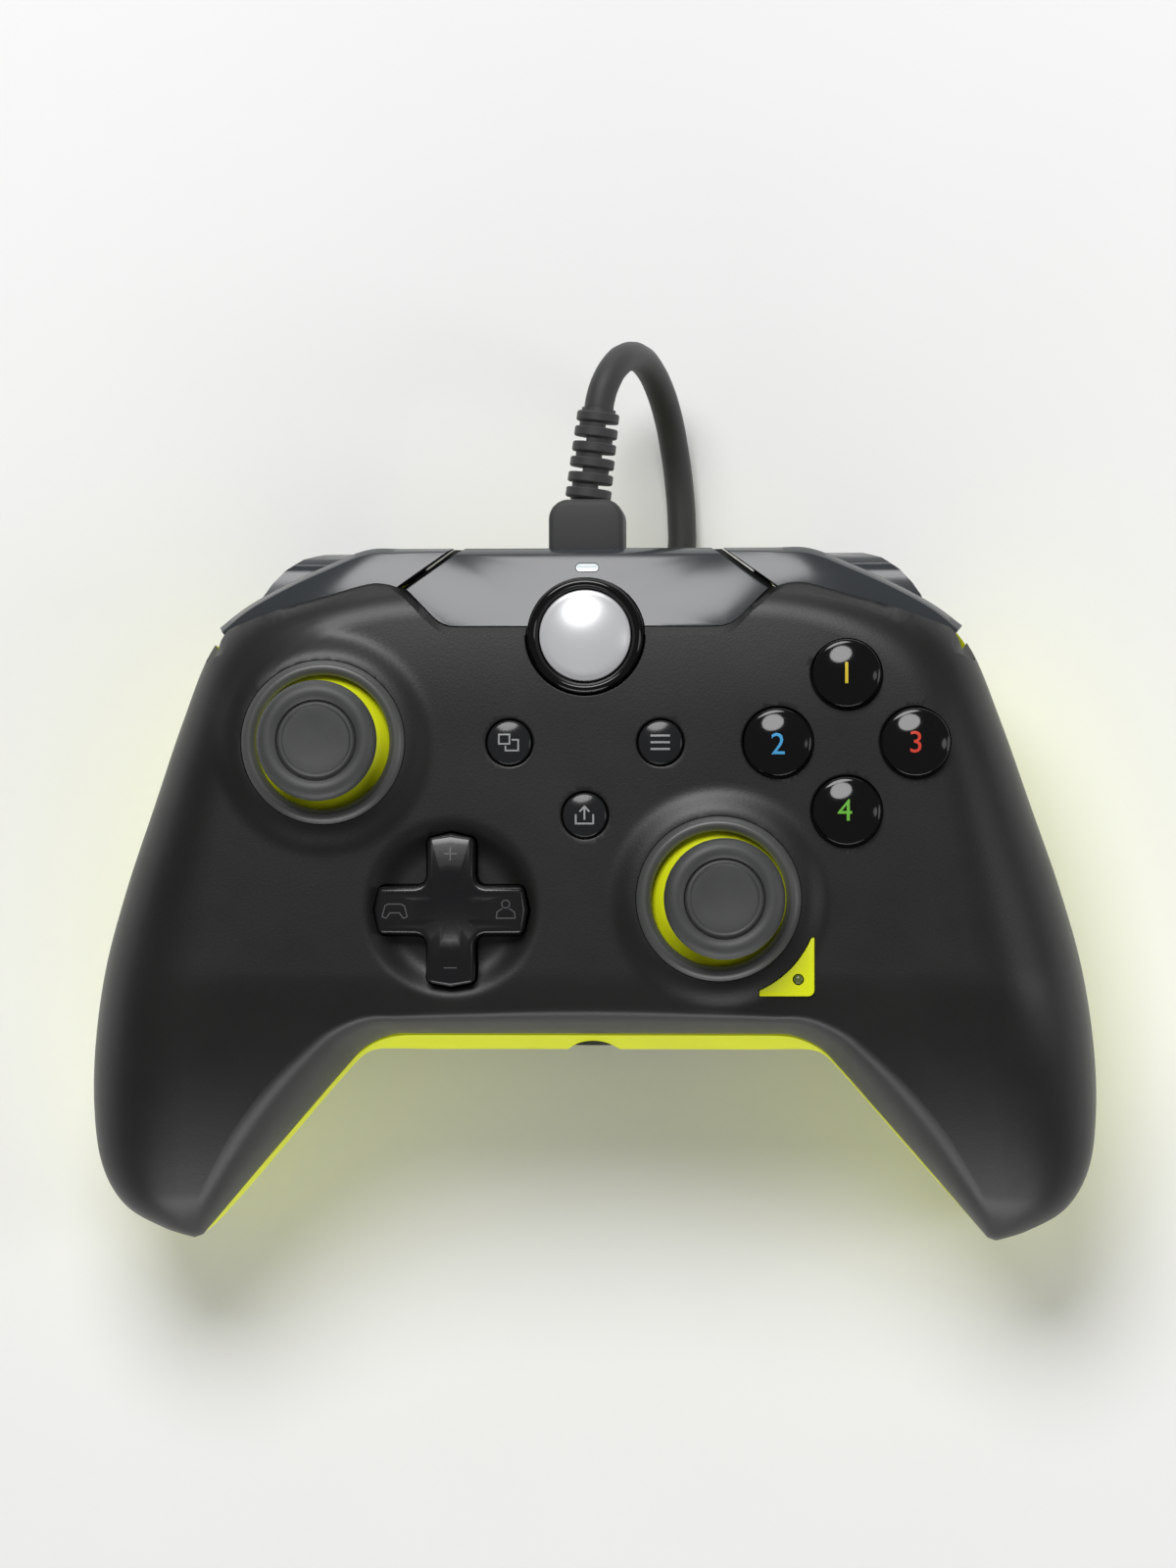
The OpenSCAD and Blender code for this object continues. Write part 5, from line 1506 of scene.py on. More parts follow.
    def trigger(self, side: Side) -> bpy.types.Object:
        """A trigger: a curved glossy shell that hangs from its pin.

        Args:
            side: the side that it is on.

        Returns:
            The finished piece.
        """
        y, z = self.trigger_at
        out = 50.8
        flip = Matrix.Diagonal((side.value, 1, 1, 1))
        outline = [(y + a, z + b) for a, b in looped(self.trigger_side, 6)]
        piece = self.across_x(outline, 31, out).turned(flip).done(f"{side.word}_trigger_fine")
        carve(piece, Carve.ONLY, Form().prism(self.trigger_plan, -5, 60).turned(flip).done("plan"))
        hub = Form().rod((31, y, z), (out, y, z), 3.4, 48).turned(flip)
        carve(piece, Carve.WITH, hub.done("hub"))
        soften(piece, 0.45, 3, 40)
        hollow = [(y + a, z + b) for a, b in self.trigger_hollow]
        carve(piece, Carve.AWAY, self.across_x(hollow, 32.8, 44).turned(flip).done("trigger_hollow"))
        tools = Form().rod((30, y, z), (52, y, z), 1.25, 32)
        carve(piece, Carve.AWAY, tools.turned(flip).done("trigger_bore"))
        spring = Form().rod((33.1, y, z), (36.7, y, z), 2.8, 32).turned(flip)
        carve(piece, Carve.AWAY, spring.done("spring_room"))
        slot = Form().block((33.1, y - 8, z - 6), (36.7, y, z)).turned(flip)
        carve(piece, Carve.AWAY, slot.done("spring_slot"))
        name = f"{side.word}_trigger"
        return Dress(PANEL, "gloss_grey", body=name, replaces=(name,)).put(piece)

    def build(self) -> None:
        """Builds the panel, the window and both sides' keys."""
        self.panel()
        self.window()
        for side in Side:
            self.slit_shade_liner(side)
            self.bumper(side)
            self.trigger(side)


@dataclass
class Inlay:
    """The lime inlay beside the right stick, with its lamp."""

    stick: Point = (20, -0.8)
    inner_r: float = 14.9
    face_z: float = 50

    def outline(self, grow: float) -> list[Point]:
        """Its outline: a square corner less the arc round the collar.

        Args:
            grow: how far it is grown.

        Returns:
            Its points.
        """
        sx, sy = self.stick
        r = self.inner_r - grow
        low, high, back = -14.5 - grow, 14.2 + grow, 5.4 - grow
        start = math.degrees(math.asin(-(5.9 - grow) / r))
        end = -math.degrees(math.acos((back + 0.6) / r))
        arc = [
            (sx + r * math.cos(math.radians(mix(end, start, k / 16))),
             sy + r * math.sin(math.radians(mix(end, start, k / 16))))
            for k in range(17)
        ]
        c = 0.9 + grow
        corner = [
            (sx + high - c + c * math.cos(math.radians(a)),
             sy + low + c + c * math.sin(math.radians(a)))
            for a in (0, -30, -60, -90)
        ]
        return [*arc, (sx + high, sy - 5.7 + grow), *corner, (sx + back + 0.6, sy + low)]

    def recess(self, grow: float) -> bpy.types.Object:
        """The tool of its seat."""
        return Form().prism(self.outline(grow), self.face_z - 0.9, self.face_z + 9).done("inlay_seat")

    def build(self) -> None:
        """Builds the inlay and its lamp."""
        sx, sy = self.stick
        shape = ShellForm()
        form = Form().prism(self.outline(0), self.face_z - 0.85, self.face_z + 0.2).rounded(0.16, 2, 50)
        piece = form.done("inlay_fine")
        at = (sx + 11.8, sy - 12, 0)
        hole = Form().lathe([(0, 40), (0.85, 40), (0.85, 60), (0, 60)], at=at, steps=32)
        carve(piece, Carve.AWAY, hole.done("lamp_hole"))
        Dress(LIME, "lime", replaces=("accent_inlay",)).put(piece)
        top = shape.face_z + 0.12
        dome = [(0, top + 0.2), (0.3, top + 0.17), (0.55, top + 0.06), (0.72, top - 0.1),
                (0.72, 49.2), (0, 49.2)]
        lamp = Form().lathe(dome, at=at, steps=32).done("lamp_fine")
        Dress(LAMP, "clear", replaces=("inlay_lamp",)).put(lamp)


@dataclass
class CrossPad:
    """The cross pad in its bowl."""

    at: Point = (-20, -2.5)
    arm: float = 11.5
    half: float = 3.55
    top: float = 52.3
    foot: float = 44.8

    def outline(self, grow: float, fillet: float = 1.6) -> list[Point]:
        """The cross' outline, with rounded inner corners and bowed ends.

        Args:
            grow: how far it is grown.
            fillet: radius of the inner corners.

        Returns:
            Its points.
        """
        x0, y0 = self.at
        a, h = self.arm + grow, self.half + grow
        r = max(fillet - grow, 0.4)
        quarter: list[Point] = []
        bow = math.sqrt(a * a - h * h)
        c = max(0.9 + grow, 0.1)
        quarter += [(bow - c * (1 - math.cos(math.radians(t))) + 0.02,
                     h - c * (1 - math.sin(math.radians(t))))
                    for t in (0, 30, 60, 90)]
        quarter += [(h + r - r * math.sin(math.radians(t)), h + r - r * math.cos(math.radians(t)))
                    for t in (0, 22, 45, 67, 90)]
        quarter += [(h - c * (1 - math.sin(math.radians(t))),
                     bow - c * (1 - math.cos(math.radians(t))) + 0.02)
                    for t in (90, 60, 30, 0)]
        quarter.append((0, a))
        made: list[Point] = []
        for k in range(4):
            turn = math.radians(90 * k)
            made += [(x0 + x * math.cos(turn) - y * math.sin(turn),
                      y0 + x * math.sin(turn) + y * math.cos(turn))
                     for x, y in quarter]
        return made

    def opening(self, grow: float) -> bpy.types.Object:
        """The tool of its hole in the bowl."""
        return Form().prism(self.outline(grow), 30, 60).done("pad_opening")

    def height(self, x: float, y: float) -> float:
        """Height of the pad's top: domed, with a dish in the middle.

        Args:
            x: place across.
            y: place along.

        Returns:
            The height.
        """
        d = math.dist((x, y), self.at)
        dome = self.top - 1.0 + (math.sqrt(61 * 61 - d * d) - 60)
        dish = self.top + 25.1 - math.sqrt(max(26 * 26 - d * d, 0))
        return min(dome, dish) if d < 9 else dome

    def section(self, grow: float, share: float = 1, z: float | None = None) -> list[Vector]:
        """A ring of the pad: its outline grown, drawn together and laid at z or on the top.

        Args:
            grow: how far the outline is grown.
            share: how much of its size is kept.
            z: its height, or none for the top's own.

        Returns:
            The ring.
        """
        x0, y0 = self.at
        made = []
        for x, y in self.outline(grow):
            x, y = mix(x0, x, share), mix(y0, y, share)
            made.append(Vector((x, y, self.height(x, y) if z is None else z)))
        return made

    def build(self) -> None:
        """Builds the pad: rim rounded, top shaped, skirt below."""
        r = 0.8
        rings = [self.section(0, z=self.foot)]
        for k in range(7):
            a = math.radians(15 * k)
            ring = self.section(-r * (1 - math.cos(a)))
            rings.append([p - Vector((0, 0, r * (1 - math.sin(a)))) for p in ring])
        rings += [self.section(-r, share=1 - k / 14) for k in range(1, 14)]
        body = Form().skin(rings).done("dpad_fine")
        skirt = [(0, 43.1), (12.0, 43.1), (12.0, 44.4), (11.0, 44.9), (0, 44.9)]
        under = Form().lathe(skirt, at=(*self.at, 0), steps=64)
        carve(body, Carve.WITH, under.done("skirt"))
        cup = Form().lathe([(4.8, 40.8), (5.8, 40.8), (5.8, 43.4), (4.8, 43.4)], at=(*self.at, 0),
                           steps=48,
                           ring=True)
        carve(body, Carve.WITH, cup.done("cup"))
        Dress(PAD, "black_gloss", body="dpad", replaces=("dpad",), above=42).put(body)
        signs = conformed(self.signs(), self, 0.03, 0.1).done("dpad_signs")
        finish = Gloss("sign_dark", (82, 83, 84), roughness=0.3, coat=0.3, dust=0.0)
        Dress(finish, "black_gloss", body="dpad").put(signs)

    def signs(self) -> Form:
        """The arms' thin signs: plus, minus, a small game pad and a head with shoulders."""
        x0, y0 = self.at
        form = Form()
        w = 0.16
        strip(form, [(x0 - 0.9, y0 + 8.4), (x0 + 0.9, y0 + 8.4)], w)
        strip(form, [(x0, y0 + 7.5), (x0, y0 + 9.3)], w)
        strip(form, [(x0 - 0.9, y0 - 8.6), (x0 + 0.9, y0 - 8.6)], w)
        a, b = x0 - 8.3, y0
        pad = [(-1.0, 0.9), (1.0, 0.9), (1.5, 0.6), (1.9, -1.0), (1.3, -1.2), (0.7, -0.4), (-0.7, -0.4),
               (-1.3, -1.2), (-1.9, -1.0), (-1.5, 0.6)]
        strip(form, [(a + x, b + y) for x, y in pad], w, True)
        c, d = x0 + 8.3, y0
        head = [(0.6 * math.cos(k * math.tau / 10), 0.9 + 0.6 * math.sin(k * math.tau / 10))
                for k in range(10)]
        strip(form, [(c + x, d + y) for x, y in head], w, True)
        shoulders = [(-0.6, 0.2), (-1.3, -0.3), (-1.4, -1.2), (1.4, -1.2), (1.3, -0.3), (0.6, 0.2)]
        strip(form, [(c + x, d + y) for x, y in shoulders], w)
        return form


@dataclass
class Thumbstick:
    """One stick: collar, lime skirt, rubber cap."""

    side: Side
    at: Point
    lean: float
    face_z: float = 50
    pivot_z: float = 37.6
    skirt_r: float = 15.6
    cap_r: float = 8.95
    cap_z: float = 61
    opening: float = 10.05
    collar_r: float = 12.3

    def leaning(self) -> Matrix:
        """The lean at rest, about the pivot."""
        p = Matrix.Translation((*self.at, self.pivot_z))
        return p @ Matrix.Rotation(math.radians(self.lean), 4, "Y") @ p.inverted()

    def collar(self) -> None:
        """The ring in the casing."""
        z, r, o = self.face_z, self.collar_r, self.opening
        top = z + 2
        profile = [
            (o + 0.02, z - 1.9), (r - 0.6, z - 2.4), (r - 0.6, z + 0.15), (r, z + 0.15), (r, z + 1.05),
            (r - 0.12, z + 1.3), (r - 0.75, z + 1.88), (r - 1.0, z + 1.98), (o + 0.85, top),
            (o + 0.55, z + 1.9),
            (o + 0.15, z + 1.55), (o, z + 1.2),
        ]
        piece = Form().lathe(profile, at=(*self.at, 0), steps=128, ring=True)
        name = f"{self.side.word}_stick_ring"
        Dress(COLLAR, "collar_grey", replaces=(name,), above=30).put(piece.done(f"{name}_fine"))

    def skirt(self) -> None:
        """The round skirt below the cap."""
        r, t = self.skirt_r, 1.1
        reach = [math.radians(6.2 + (59 - 6.2) * k / 30) for k in range(31)]
        outer = [(r * math.sin(a), r * math.cos(a)) for a in reach]
        inner = [((r - t) * math.sin(a), (r - t) * math.cos(a)) for a in reversed(reach)]
        form = Form().lathe(outer + inner, at=(*self.at, self.pivot_z), steps=128, ring=True)
        name = f"{self.side.word}_stick_skirt"
        piece = form.turned(self.leaning()).done(f"{name}_fine")
        Dress(LIME, "lime", body=f"{self.side.word}_stick", replaces=(name,)).put(piece)

    def cap(self) -> None:
        """The rubber cap: neck, rounded rim, groove, inner ring and dish."""
        z, r = self.cap_z, self.cap_r
        foot = self.pivot_z + self.skirt_r
        rim = [
            (r - 1.75 + 1.75 * math.cos(math.radians(a)), z - 1.75 + 1.75 * math.sin(math.radians(a)))
            for a in range(-75, 136, 10)
        ]
        groove = [(5.95, z - 1.16), (5.82, z - 0.82)]
        inner = [
            (5.35 + 0.5 * math.cos(math.radians(a)), z - 1.1 + 0.55 * math.sin(math.radians(a)))
            for a in range(30, 151, 20)
        ]
        dish = [(4.6, z - 0.82), (3.6, z - 0.9), (2.4, z - 0.99), (1.2, z - 1.04), (0, z - 1.05)]
        profile = [
            (0, foot + 0.02), (2.2, foot - 0.12), (3.9, foot - 0.42), (4.0, foot - 0.2), (4.0, z - 4.6),
            (4.4, z - 4.2), (6.6, z - 3.75), *rim, *groove, *inner, *dish,
        ]
        name = f"{self.side.word}_stick_cap"
        piece = Form().lathe(profile, at=(*self.at, 0),
                             steps=128).turned(self.leaning()).done(f"{name}_fine")
        Dress(CAP, "cap_rubber", body=f"{self.side.word}_stick", replaces=(name,), above=50).put(piece)

    def build(self) -> None:
        """Builds the three visible pieces."""
        self.collar()
        self.skirt()
        self.cap()


@dataclass(frozen=True)
class Dome:
    """The crowned top of a round key."""

    at: Point
    r: float
    rim_z: float
    crown: float

    def height(self, x: float, y: float) -> float:
        """Height of the crown at a place."""
        ball = (self.r**2 + self.crown**2) / (2 * self.crown)
        d = math.dist((x, y), self.at)
        return self.rim_z + self.crown - ball + math.sqrt(max(ball * ball - d * d, 0))

    def profile(self, edge: float, steps: int = 14) -> list[Point]:
        """The profile from the middle of the crown to its rim, with a rounded shoulder.

        Args:
            edge: radius of the shoulder.
            steps: how many steps the crown has.

        Returns:
            The profile's points.
        """
        x0, y0 = self.at
        inner = self.r - edge
        crown = [(inner * k / steps, self.height(x0 + inner * k / steps, y0)) for k in range(steps + 1)]
        side_z = crown[-1][1] - edge
        turn = [
            (inner + edge * math.sin(math.radians(a)), side_z + edge * math.cos(math.radians(a)))
            for a in (30, 50, 70, 90)
        ]
        return crown + turn

    def key(self, edge: float, flange: Point, stem: Point) -> Form:
        """The whole key: crown, wall, flange and stem.

        Args:
            edge: the radius of the shoulder.
            flange: radius and lower height of the flange.
            stem: radius and foot height of the stem.

        Returns:
            The form.
        """
        low = flange[1]
        profile = [
            *self.profile(edge), (self.r, low + 1.3), (flange[0], low + 1.3), (flange[0], low),
            (stem[0], low), (stem[0], stem[1]), (0, stem[1]),
        ]
        return Form().lathe(profile, at=(*self.at, 0), steps=96)


class Mark(Enum):
    """What stands on a face button."""

    TOP = ("1", (214, 190, 52))
    LEFT = ("2", (70, 160, 214))
    RIGHT = ("3", (206, 62, 44))
    BOTTOM = ("4", (104, 178, 62))


def conformed(form: Form, dome: Dome | CrossPad, lift: float, sink: float = 0.12) -> Form:
    """Lays flat faces on a dome and gives them thickness.

    Args:
        form: flat faces at height 0, in place in plan.
        dome: what they lie on.
        lift: how far they stand out.
        sink: how far they reach down.

    Returns:
        The form.
    """
    bm = form.bm
    for _ in range(4):
        bmesh.ops.triangulate(bm, faces=bm.faces)
        long = [e for e in bm.edges if e.calc_length() > 0.45]
        bmesh.ops.subdivide_edges(bm, edges=long, cuts=1)
    grown = bmesh.ops.extrude_face_region(bm, geom=bm.faces[:])["geom"]
    top = {v for v in grown if isinstance(v, bmesh.types.BMVert)}
    for v in bm.verts:
        v.co.z = dome.height(v.co.x, v.co.y) + (lift if v in top else -sink)
    return form


def numeral(text: str, size: float, at: Point) -> Form:
    """Flat faces of a figure.

    Args:
        text: the figure.
        size: its height in millimetres.
        at: its middle.

    Returns:
        The form.
    """
    data = bpy.data.curves.new("figure", "FONT")
    data.body = text
    data.size = size
    data.align_x = "CENTER"
    data.align_y = "CENTER"
    data.resolution_u = 3
    holder = bpy.data.objects.new("figure", data)
    bpy.context.scene.collection.objects.link(holder)
    graph = bpy.context.evaluated_depsgraph_get()
    mesh = bpy.data.meshes.new_from_object(holder.evaluated_get(graph), depsgraph=graph)
    bpy.data.objects.remove(holder)
    form = Form()
    form.bm.from_mesh(mesh)
    bpy.data.meshes.remove(mesh)
    bmesh.ops.remove_doubles(form.bm, verts=form.bm.verts, dist=1e-3)
    middle = sum((v.co for v in form.bm.verts), Vector()) / len(form.bm.verts)
    bmesh.ops.translate(form.bm, vec=(at[0] - middle.x, at[1] - middle.y, 0), verts=form.bm.verts)
    return form


def strip(form: Form, points: Sequence[Point], width: float, closed: bool = False) -> Form:
    """Adds flat bars along a line to a form.

    Args:
        form: what they are added to.
        points: the line's points.
        width: the bars' width.
        closed: whether the line comes back to its start.

    Returns:
        The form.
    """
    ends = list(points) + ([points[0]] if closed else [])
    for a, b in zip(ends, ends[1:]):
        p, q = Vector((*a, 0)), Vector((*b, 0))
        way = (q - p).normalized() * (width / 2)
        side = Vector((-way.y, way.x, 0))
        corners = [p - way - side, q + way - side, q + way + side, p - way + side]
        verts = [form.bm.verts.new(c) for c in corners]
        form.bm.faces.new(verts)
    return form


@dataclass
class FaceKeys:
    """Four domed face buttons with their figures."""

    spots: tuple[Point, ...] = ((39.05, 32.75), (28.8, 22.5), (49.3, 22.5), (39.05, 12.25))
    r: float = 5.08
    face_z: float = 50

    def build(self) -> None:
        """Builds each button, its rim ring and its figure."""
        for k, (at, mark) in enumerate(zip(self.spots, Mark), 1):
            body = f"face_button_{k}"
            dome = Dome(at, self.r, self.face_z + 1.1, 1.3)
            key = dome.key(0.45, (self.r + 0.8, 44.6), (3.2, 37)).done(f"{body}_fine")
            Dress(BLACK, "black_gloss", body=body, replaces=(body,), above=50).put(key)
            figure, colour = mark.value
            finish = Gloss(f"figure_{mark.name.lower()}", colour, roughness=0.15, coat=1.0, dust=0.0)
            piece = conformed(numeral(figure, 4.6, at), dome, 0.03, 0.1).done(f"figure_{figure}")
            Dress(finish, "black_gloss", body=body).put(piece)


@dataclass
class SmallKeys:
    """The three small buttons and their signs."""

    spots: tuple[Point, ...] = ((-11.3, 22.5), (11.3, 22.5), (0, 11.65))
    names: tuple[str, ...] = ("view_button", "menu_button", "share_button")
    r: float = 3.3
    face_z: float = 50

    def sign(self, k: int, at: Point) -> Form:
        """The sign of a button: two windows, three bars, or a tray with an arrow.

        Args:
            k: which button, counted from 0.
            at: its middle.

        Returns:
            The flat sign.
        """
        x, y = at
        form = Form()
        if k == 0:
            strip(form, [(x - 1.5, y - 0.2), (x + 0.1, y - 0.2), (x + 0.1, y + 1.2),
                         (x - 1.5, y + 1.2)], 0.24, True)
            strip(form, [(x + 0.55, y + 0.4), (x + 1.4, y + 0.4), (x + 1.4, y - 1.2),
                         (x - 0.5, y - 1.2),
                         (x - 0.5, y - 0.6)], 0.24)
        elif k == 1:
            for dy in (-1.0, 0, 1.0):
                strip(form, [(x - 1.3, y + dy), (x + 1.3, y + dy)], 0.3)
        else:
            strip(form, [(x - 1.3, y), (x - 1.3, y - 1.25), (x + 1.3, y - 1.25), (x + 1.3, y)], 0.26)
            strip(form, [(x, y - 0.55), (x, y + 1.2)], 0.26)
            strip(form, [(x - 0.65, y + 0.6), (x, y + 1.3), (x + 0.65, y + 0.6)], 0.26)
        return form

    def build(self) -> None:
        """Builds each button and its sign."""
        finish = Gloss("sign_grey", (150, 152, 152), roughness=0.2, coat=0.6, dust=0.0)
        for k, (name, at) in enumerate(zip(self.names, self.spots)):
            dome = Dome(at, self.r, self.face_z + 0.5, 0.5)
            key = dome.key(0.4, (self.r + 0.7, 45.6), (1.6, 35)).done(f"{name}_fine")
            Dress(KEY_GREY, "gloss_grey", body=name, replaces=(name,), above=50).put(key)
            piece = conformed(self.sign(k, at), dome, 0.05, 0.1).done(f"{name}_sign")
            Dress(finish, "gloss_grey", body=name).put(piece)


@dataclass
class GuideKey:
    """The guide button and the ring that it stands in."""

    at: Point = (0, 38.5)
    r: float = 6.85
    ring_r: float = 8.75
    face_z: float = 50

    def build(self) -> None:
        """Builds the dome and its ring."""
        z = self.face_z
        dome = Dome(self.at, self.r, z - 0.3, 1.7)
        key = dome.key(0.3, (self.r + 0.9, z - 9), (2.4, z - 12)).done("guide_button_fine")
        Dress(SILVER, "silver", body="guide_button", replaces=("guide_button",), above=50).put(key)
        i, o = self.r + 0.2, self.ring_r
        profile = [
            (i, z - 6), (o, z - 6), (o, z - 0.45), (o - 0.08, z - 0.05), (o - 0.3, z + 0.35),
            (o - 0.65, z + 0.6),
            (o - 1.0, z + 0.62), (o - 1.3, z + 0.45), (i + 0.12, z - 0.05), (i, z - 0.2),
        ]
        ring = Form().lathe(profile, at=(*self.at, 0), steps=128, ring=True).done("guide_ring_fine")
        Dress(BLACK, "black_gloss", replaces=("guide_ring",), above=50).put(ring)


@dataclass
class CordSet:
    """Plug block, strain relief, the whole cord, its tie and the plug at its far end."""

    d: float = 4.5
    out: tuple[Triple, ...] = (
        (1, 73, 32.6), (1.3, 75.4, 32.6), (2.3, 78.6, 32), (3.7, 81.2, 29.8), (5.2, 82.7, 26.2),
        (6.6, 83, 21.8),
        (8, 81.9, 16.9), (9.4, 79.2, 12), (10.6, 75.2, 8), (11.5, 70.2, 5.2), (12.2, 64.6, 3.6),
        (12.6, 58.4, 3.25), (12.5, 54, 3.25), (11.4, 50.6, 3.25), (7.5, 48.6, 3.25), (2, 47.9, 3.25),
        (-4, 46.6, 3.25),
    )
    back: tuple[Triple, ...] = (
        (-28.8, 11, 3.25), (-28.8, 5, 3.25), (-28.7, -1, 3.2), (-29.6, -7, 3.1), (-32.4, -11, 3.1),
        (-36, -11.4, 3.3), (-38.2, -8.4, 3.7), (-38.6, -5, 4), (-38.6, -2.4, 4),
    )
    coil: Point = (7.5, 11.7)
    coil_d: float = 45
    layer: Triple = (3.25, 7.75, 12.25)
    relief_at: Triple = (-0.6, 60, 32.6)

    def turns(self) -> list[Triple]:
        """The route through the coil, from its outer side and back to it."""
        low, mid, top = self.layer
        radii = [self.coil_d / 2 + self.d * k for k in (2, 1, 0, -1, -2)]
        slots = [(r, low) for r in radii]
        for k, r in enumerate(reversed(radii)):
            slots += [(r, mid), (r, top)] if k % 2 == 0 else [(r, top), (r, mid)]
        x0, y0 = self.coil
        start = math.radians(165)
        made: list[Triple] = []
        for n, (r, z) in enumerate(slots):
            nxt = slots[n + 1] if n + 1 < len(slots) else (r + 4.6, low)
            window = 22 / r
            run = math.tau - (0 if n < 4 else window)
            steps = 18
            for k in range(steps):
                a = start + run * k / steps
                share = smooth((run * k / steps - (run - window)) / window)
                made.append((
                    x0 + mix(r, nxt[0], share) * math.cos(a), y0 + mix(r, nxt[0], share) * math.sin(a),
                    mix(z, nxt[1], share),
                ))
            start += run
        return made

    def cord(self) -> bpy.types.Object:
        """The cord, one smooth line from the strain relief to its far plug."""
        coil = self.turns()
        points = [*self.out, *coil[1:], *self.back]
        data = bpy.data.curves.new("cord_line", "CURVE")
        data.dimensions = "3D"
        data.bevel_depth = self.d / 2 * MM
        data.bevel_resolution = 5
        data.use_fill_caps = True
        data.resolution_u = 4
        line = data.splines.new("BEZIER")
        line.bezier_points.add(len(points) - 1)
        for p, (x, y, z) in zip(line.bezier_points, points):
            p.co = (x * MM, y * MM, z * MM)
            p.handle_left_type = "AUTO"
            p.handle_right_type = "AUTO"
        piece = bpy.data.objects.new("cord_line", data)
        bpy.context.scene.collection.objects.link(piece)
        length = sum(math.dist(a, b) for a, b in zip(points, points[1:]))
        log.info("cord: about %.0f mm", length)
        return Dress(CORD, "cord_rubber", replaces=("cord", "cord_coil")).put(piece)

    def block(self) -> bpy.types.Object:
        """The plug block at the controller."""
        x0, w, top = -0.6, 5.7, 59.9
        arc = [math.radians(a) for a in range(0, 91, 10)]
        outline = [(x0 - w, 50.6), (x0 + w, 50.6)]
        outline += [(x0 + w - 3 + 3 * math.cos(a), top - 3 + 3 * math.sin(a)) for a in arc]
        outline += [(x0 - w + 3 - 3 * math.sin(a), top - 3 + 3 * math.cos(a)) for a in arc]
        form = Form().prism(outline, 27.8, 37.4).rounded(0.9, 4, 50)
        piece = form.done("plug_block")
        blade = Form().block((-3.4, 45.2, 31.65), (6.8 - 3.4, 51.0, 33.75)).rounded(0.3, 2,
                50).done("plug_blade")
        Dress(STEEL, "steel").put(blade)
        return Dress(CORD, "cord_rubber", replaces=("usb_plug",)).put(piece)

    def relief(self) -> bpy.types.Object:
        """The segmented strain relief, notched left and right in turn."""
        step, ribs = 2.35, 6
        lean = Matrix.Translation(self.relief_at) @ Matrix.Rotation(math.radians(-7), 4,
                "Z") @ Matrix.Rotation(
            math.radians(-90), 4, "X")
        profile: list[Point] = [(0, -1.6), (2.5, -1.6), (2.5, 0)]
        for k in range(ribs):
            r, foot = 3.5 - 0.05 * k, k * step
            profile += [(2.7, foot), (2.7, foot + 0.3), (r - 0.15, foot + 0.32), (r, foot + 0.5),
                        (r, foot + step - 0.75), (r - 0.15, foot + step - 0.56),
                        (2.65, foot + step - 0.54)]
        profile += [(2.6, ribs * step), (2.27, ribs * step), (2.27, ribs * step - 1.2),
                    (0, ribs * step - 1.2)]
        piece = Form().lathe(profile, steps=48).done("strain_relief_fine")
        for k in range(ribs - 1):
            x = 1.2 if k % 2 == 0 else -4.4
            z = (k + 1) * step - 0.55
            carve(piece, Carve.AWAY, Form().block((x, -4.5, z), (x + 3.2, 4.5, z + 0.85)).done("notch"))
        bm = bmesh.new()
        bm.from_mesh(piece.data)
        place = lean.copy()
        place.translation *= MM
        bmesh.ops.transform(bm, matrix=place, verts=bm.verts)
        bm.to_mesh(piece.data)
        bm.free()
        return Dress(CORD, "cord_rubber", replaces=("strain_relief",)).put(piece)

    def tie(self) -> bpy.types.Object:
        """The tie round the coil."""
        w, h, t = 5 * self.d + 0.8, 3 * self.d + 0.2, 0.9
        place = Matrix.Translation((*self.coil, 0)) @ Matrix.Rotation(math.radians(-50), 4, "Z") @ (
            Matrix.Translation((self.coil_d / 2, 2, 0)) @ Matrix.Rotation(math.radians(90), 4, "X"))
        outer = [(-w / 2 - t, 0), (w / 2 + t, 0), (w / 2 + t, h + 2 * t), (-w / 2 - t, h + 2 * t)]
        piece = Form().prism(outer, 0, 4, place).rounded(0.6, 3, 50).done("cord_tie_fine")
        inner = [(-w / 2, t), (w / 2, t), (w / 2, t + h), (-w / 2, t + h)]
        carve(piece, Carve.AWAY, Form().prism(inner, -1, 5, place).done("tie_room"))
        return Dress(TIE, "cord_rubber", replaces=("cord_tie",)).put(piece)

    def far_plug(self) -> list[bpy.types.Object]:
        """The plug at the far end: moulded grip and steel shell."""
        x, y = -38.6, -3
        w, long = 7.2, 24
        outline = [(-5, 0), (5, 0), (w, 6), (w, long), (-w, long), (-w, 6)]
        grip = Form().prism([(x + a, y + b) for a, b in outline], 0.05, 7.8).rounded(1.2, 4,
                25).done("far_grip")
        for k in range(4):
            ridge = y + 9 + 3 * k
            for s in (-1, 1):
                low, high = sorted((x + s * (w - 0.35), x + s * (w + 1)))
                notch = Form().block((low, ridge, -1), (high, ridge + 1.3, 9)).done("ridge")
                carve(grip, Carve.AWAY, notch)
        Dress(CORD, "cord_rubber", replaces=("usb_a_plug",)).put(grip)
        z = 3.9 - 2.25
        form = Form().block((x - 6, y + long - 4, z), (x + 6, y + long + 12, z + 4.5)).rounded(0.35,
                2, 50)
        shell = form.done("far_shell")
        mouth = Form().block((x - 5.6, y + long + 3, z + 0.4),
                             (x + 5.6, y + long + 14, z + 2.4)).done("mouth")
        carve(shell, Carve.AWAY, mouth)
        for dx in (-3, 3):
            window = Form().block((x + dx - 1.1, y + long + 4.4, z + 3),
                                  (x + dx + 1.1, y + long + 6.6, z + 6))
            carve(shell, Carve.AWAY, window.done("latch_window"))
        Dress(STEEL, "steel", replaces=("usb_a_shell",)).put(shell)
        return [grip, shell]

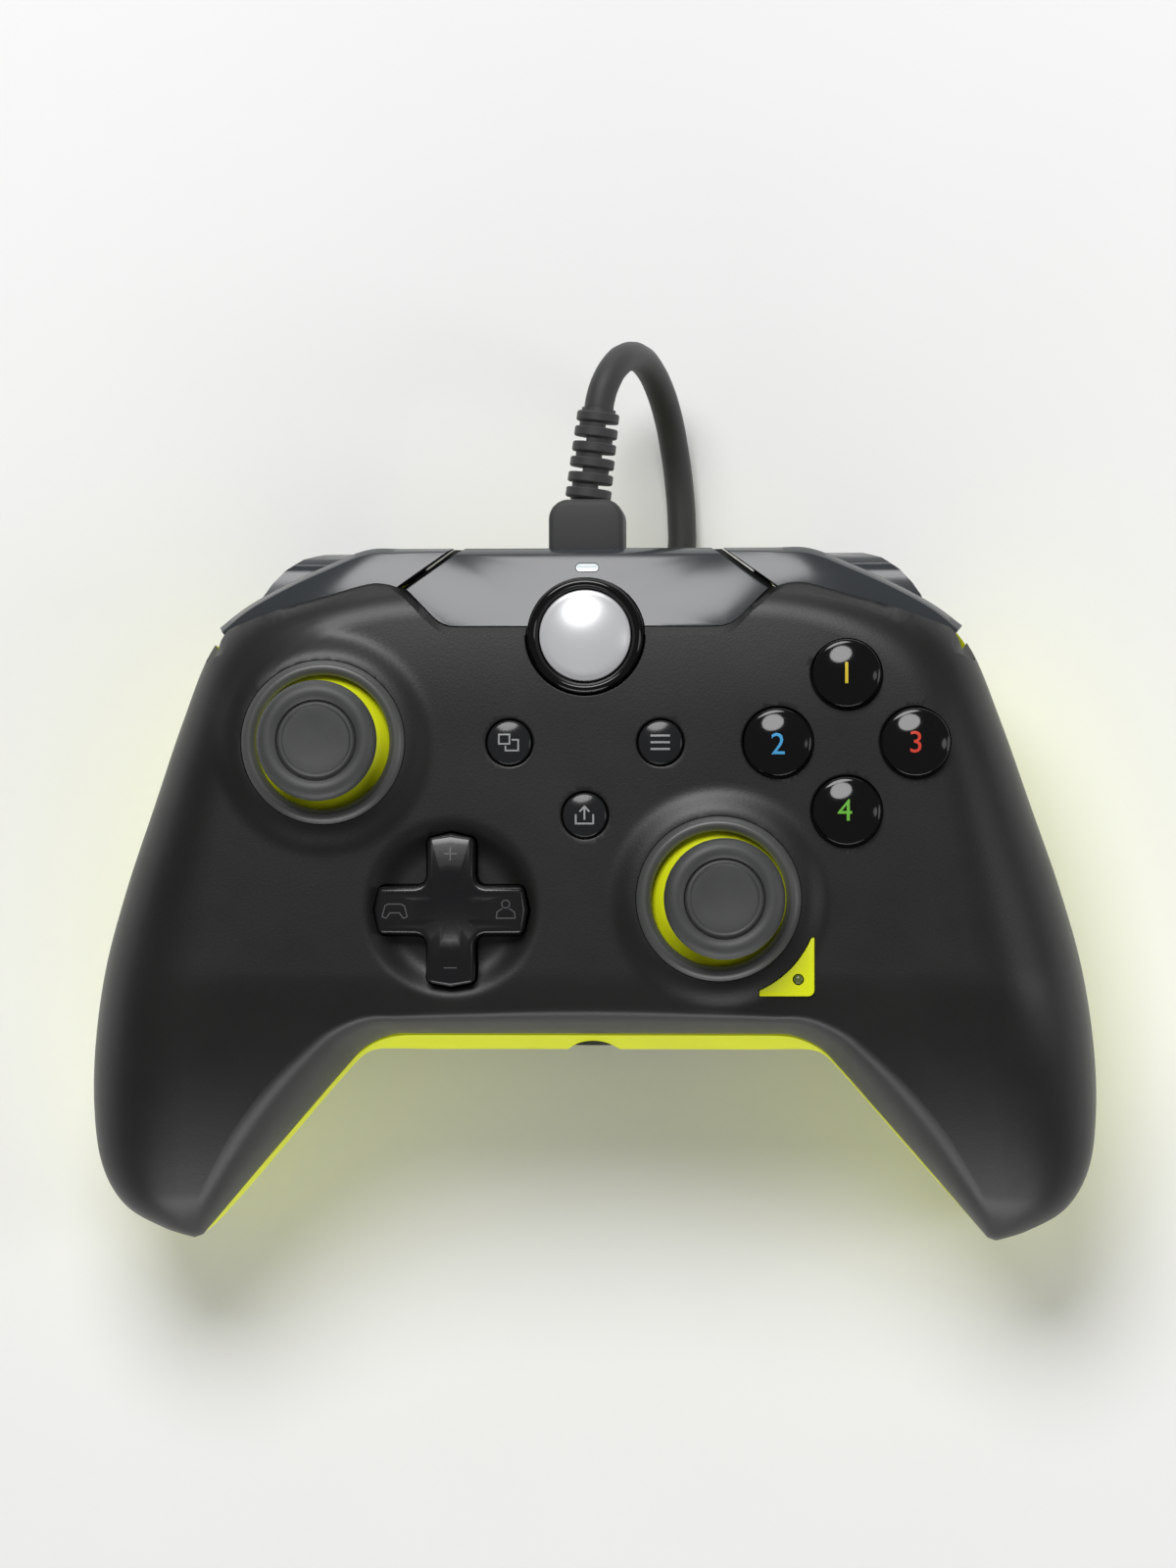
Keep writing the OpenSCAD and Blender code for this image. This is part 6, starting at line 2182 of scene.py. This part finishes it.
    def build(self) -> None:
        block = self.block()
        relief = self.relief()
        tie = self.tie()
        far = self.far_plug()
        line = self.cord()
        tuple(c * MM for c in self.out[0])


@dataclass
class Inside:
    """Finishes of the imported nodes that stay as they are."""

    finishes: dict[str, Finish] = field(default_factory=lambda: {
        "light_pipe": CLEAR, "mid_frame": FRAME, "main_board": BOARD, "board_parts": CHIPS,
        "usb_port": STEEL,
        "audio_jack": FRAME, "face_membrane": MEMBRANE, "dpad_membrane": MEMBRANE,
        "small_button_membrane": MEMBRANE, "left_rumble_motor": STEEL, "right_rumble_motor": STEEL,
        "left_rumble_weight": WEIGHTS, "right_rumble_weight": WEIGHTS, "trigger_pins": STEEL,
        "left_trigger_spring": STEEL, "right_trigger_spring": STEEL, "shell_screws": STEEL,
        "dpad_pivot": STEEL, "left_stick_module": STEEL, "left_upper_rocker": NYLON,
        "left_lower_rocker": DARK_NYLON, "left_cross_pin": STEEL, "left_stick_shaft": NYLON,
        "right_stick_module": STEEL, "right_upper_rocker": NYLON, "right_lower_rocker": DARK_NYLON,
        "right_cross_pin": STEEL, "right_stick_shaft": NYLON,
    })

    def build(self) -> None:
        """Puts a finish on each node that is still shown."""
        for name, finish in self.finishes.items():
            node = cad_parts[name]
            node.data.materials.clear()
            node.data.materials.append(finished(finish))
        shown_nodes = [n for n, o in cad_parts.items() if not o.hide_render]
        bare = sorted(set(shown_nodes) - set(self.finishes))
        log.info("nodes shown: %d, without a new finish: %s", len(shown_nodes), bare)


def main() -> None:
    """Builds the stage, then every sub-assembly in order."""
    logging.basicConfig(level=logging.INFO, format="%(message)s")
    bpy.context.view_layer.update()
    Studio().build()
    casing = Casing()
    parts = (
        CordSet(), casing, Shoulders(), GuideKey(), SmallKeys(), FaceKeys(), CrossPad(),
        Thumbstick(Side.LEFT, (-39.2, 22.6), 0), Thumbstick(Side.RIGHT, (20, -0.8), 3), Inlay(),
        Inside(),
    )
    for part in parts:
        part.build()
        log.info("%s is built", type(part).__name__)


if __name__ == "__main__":
    main()
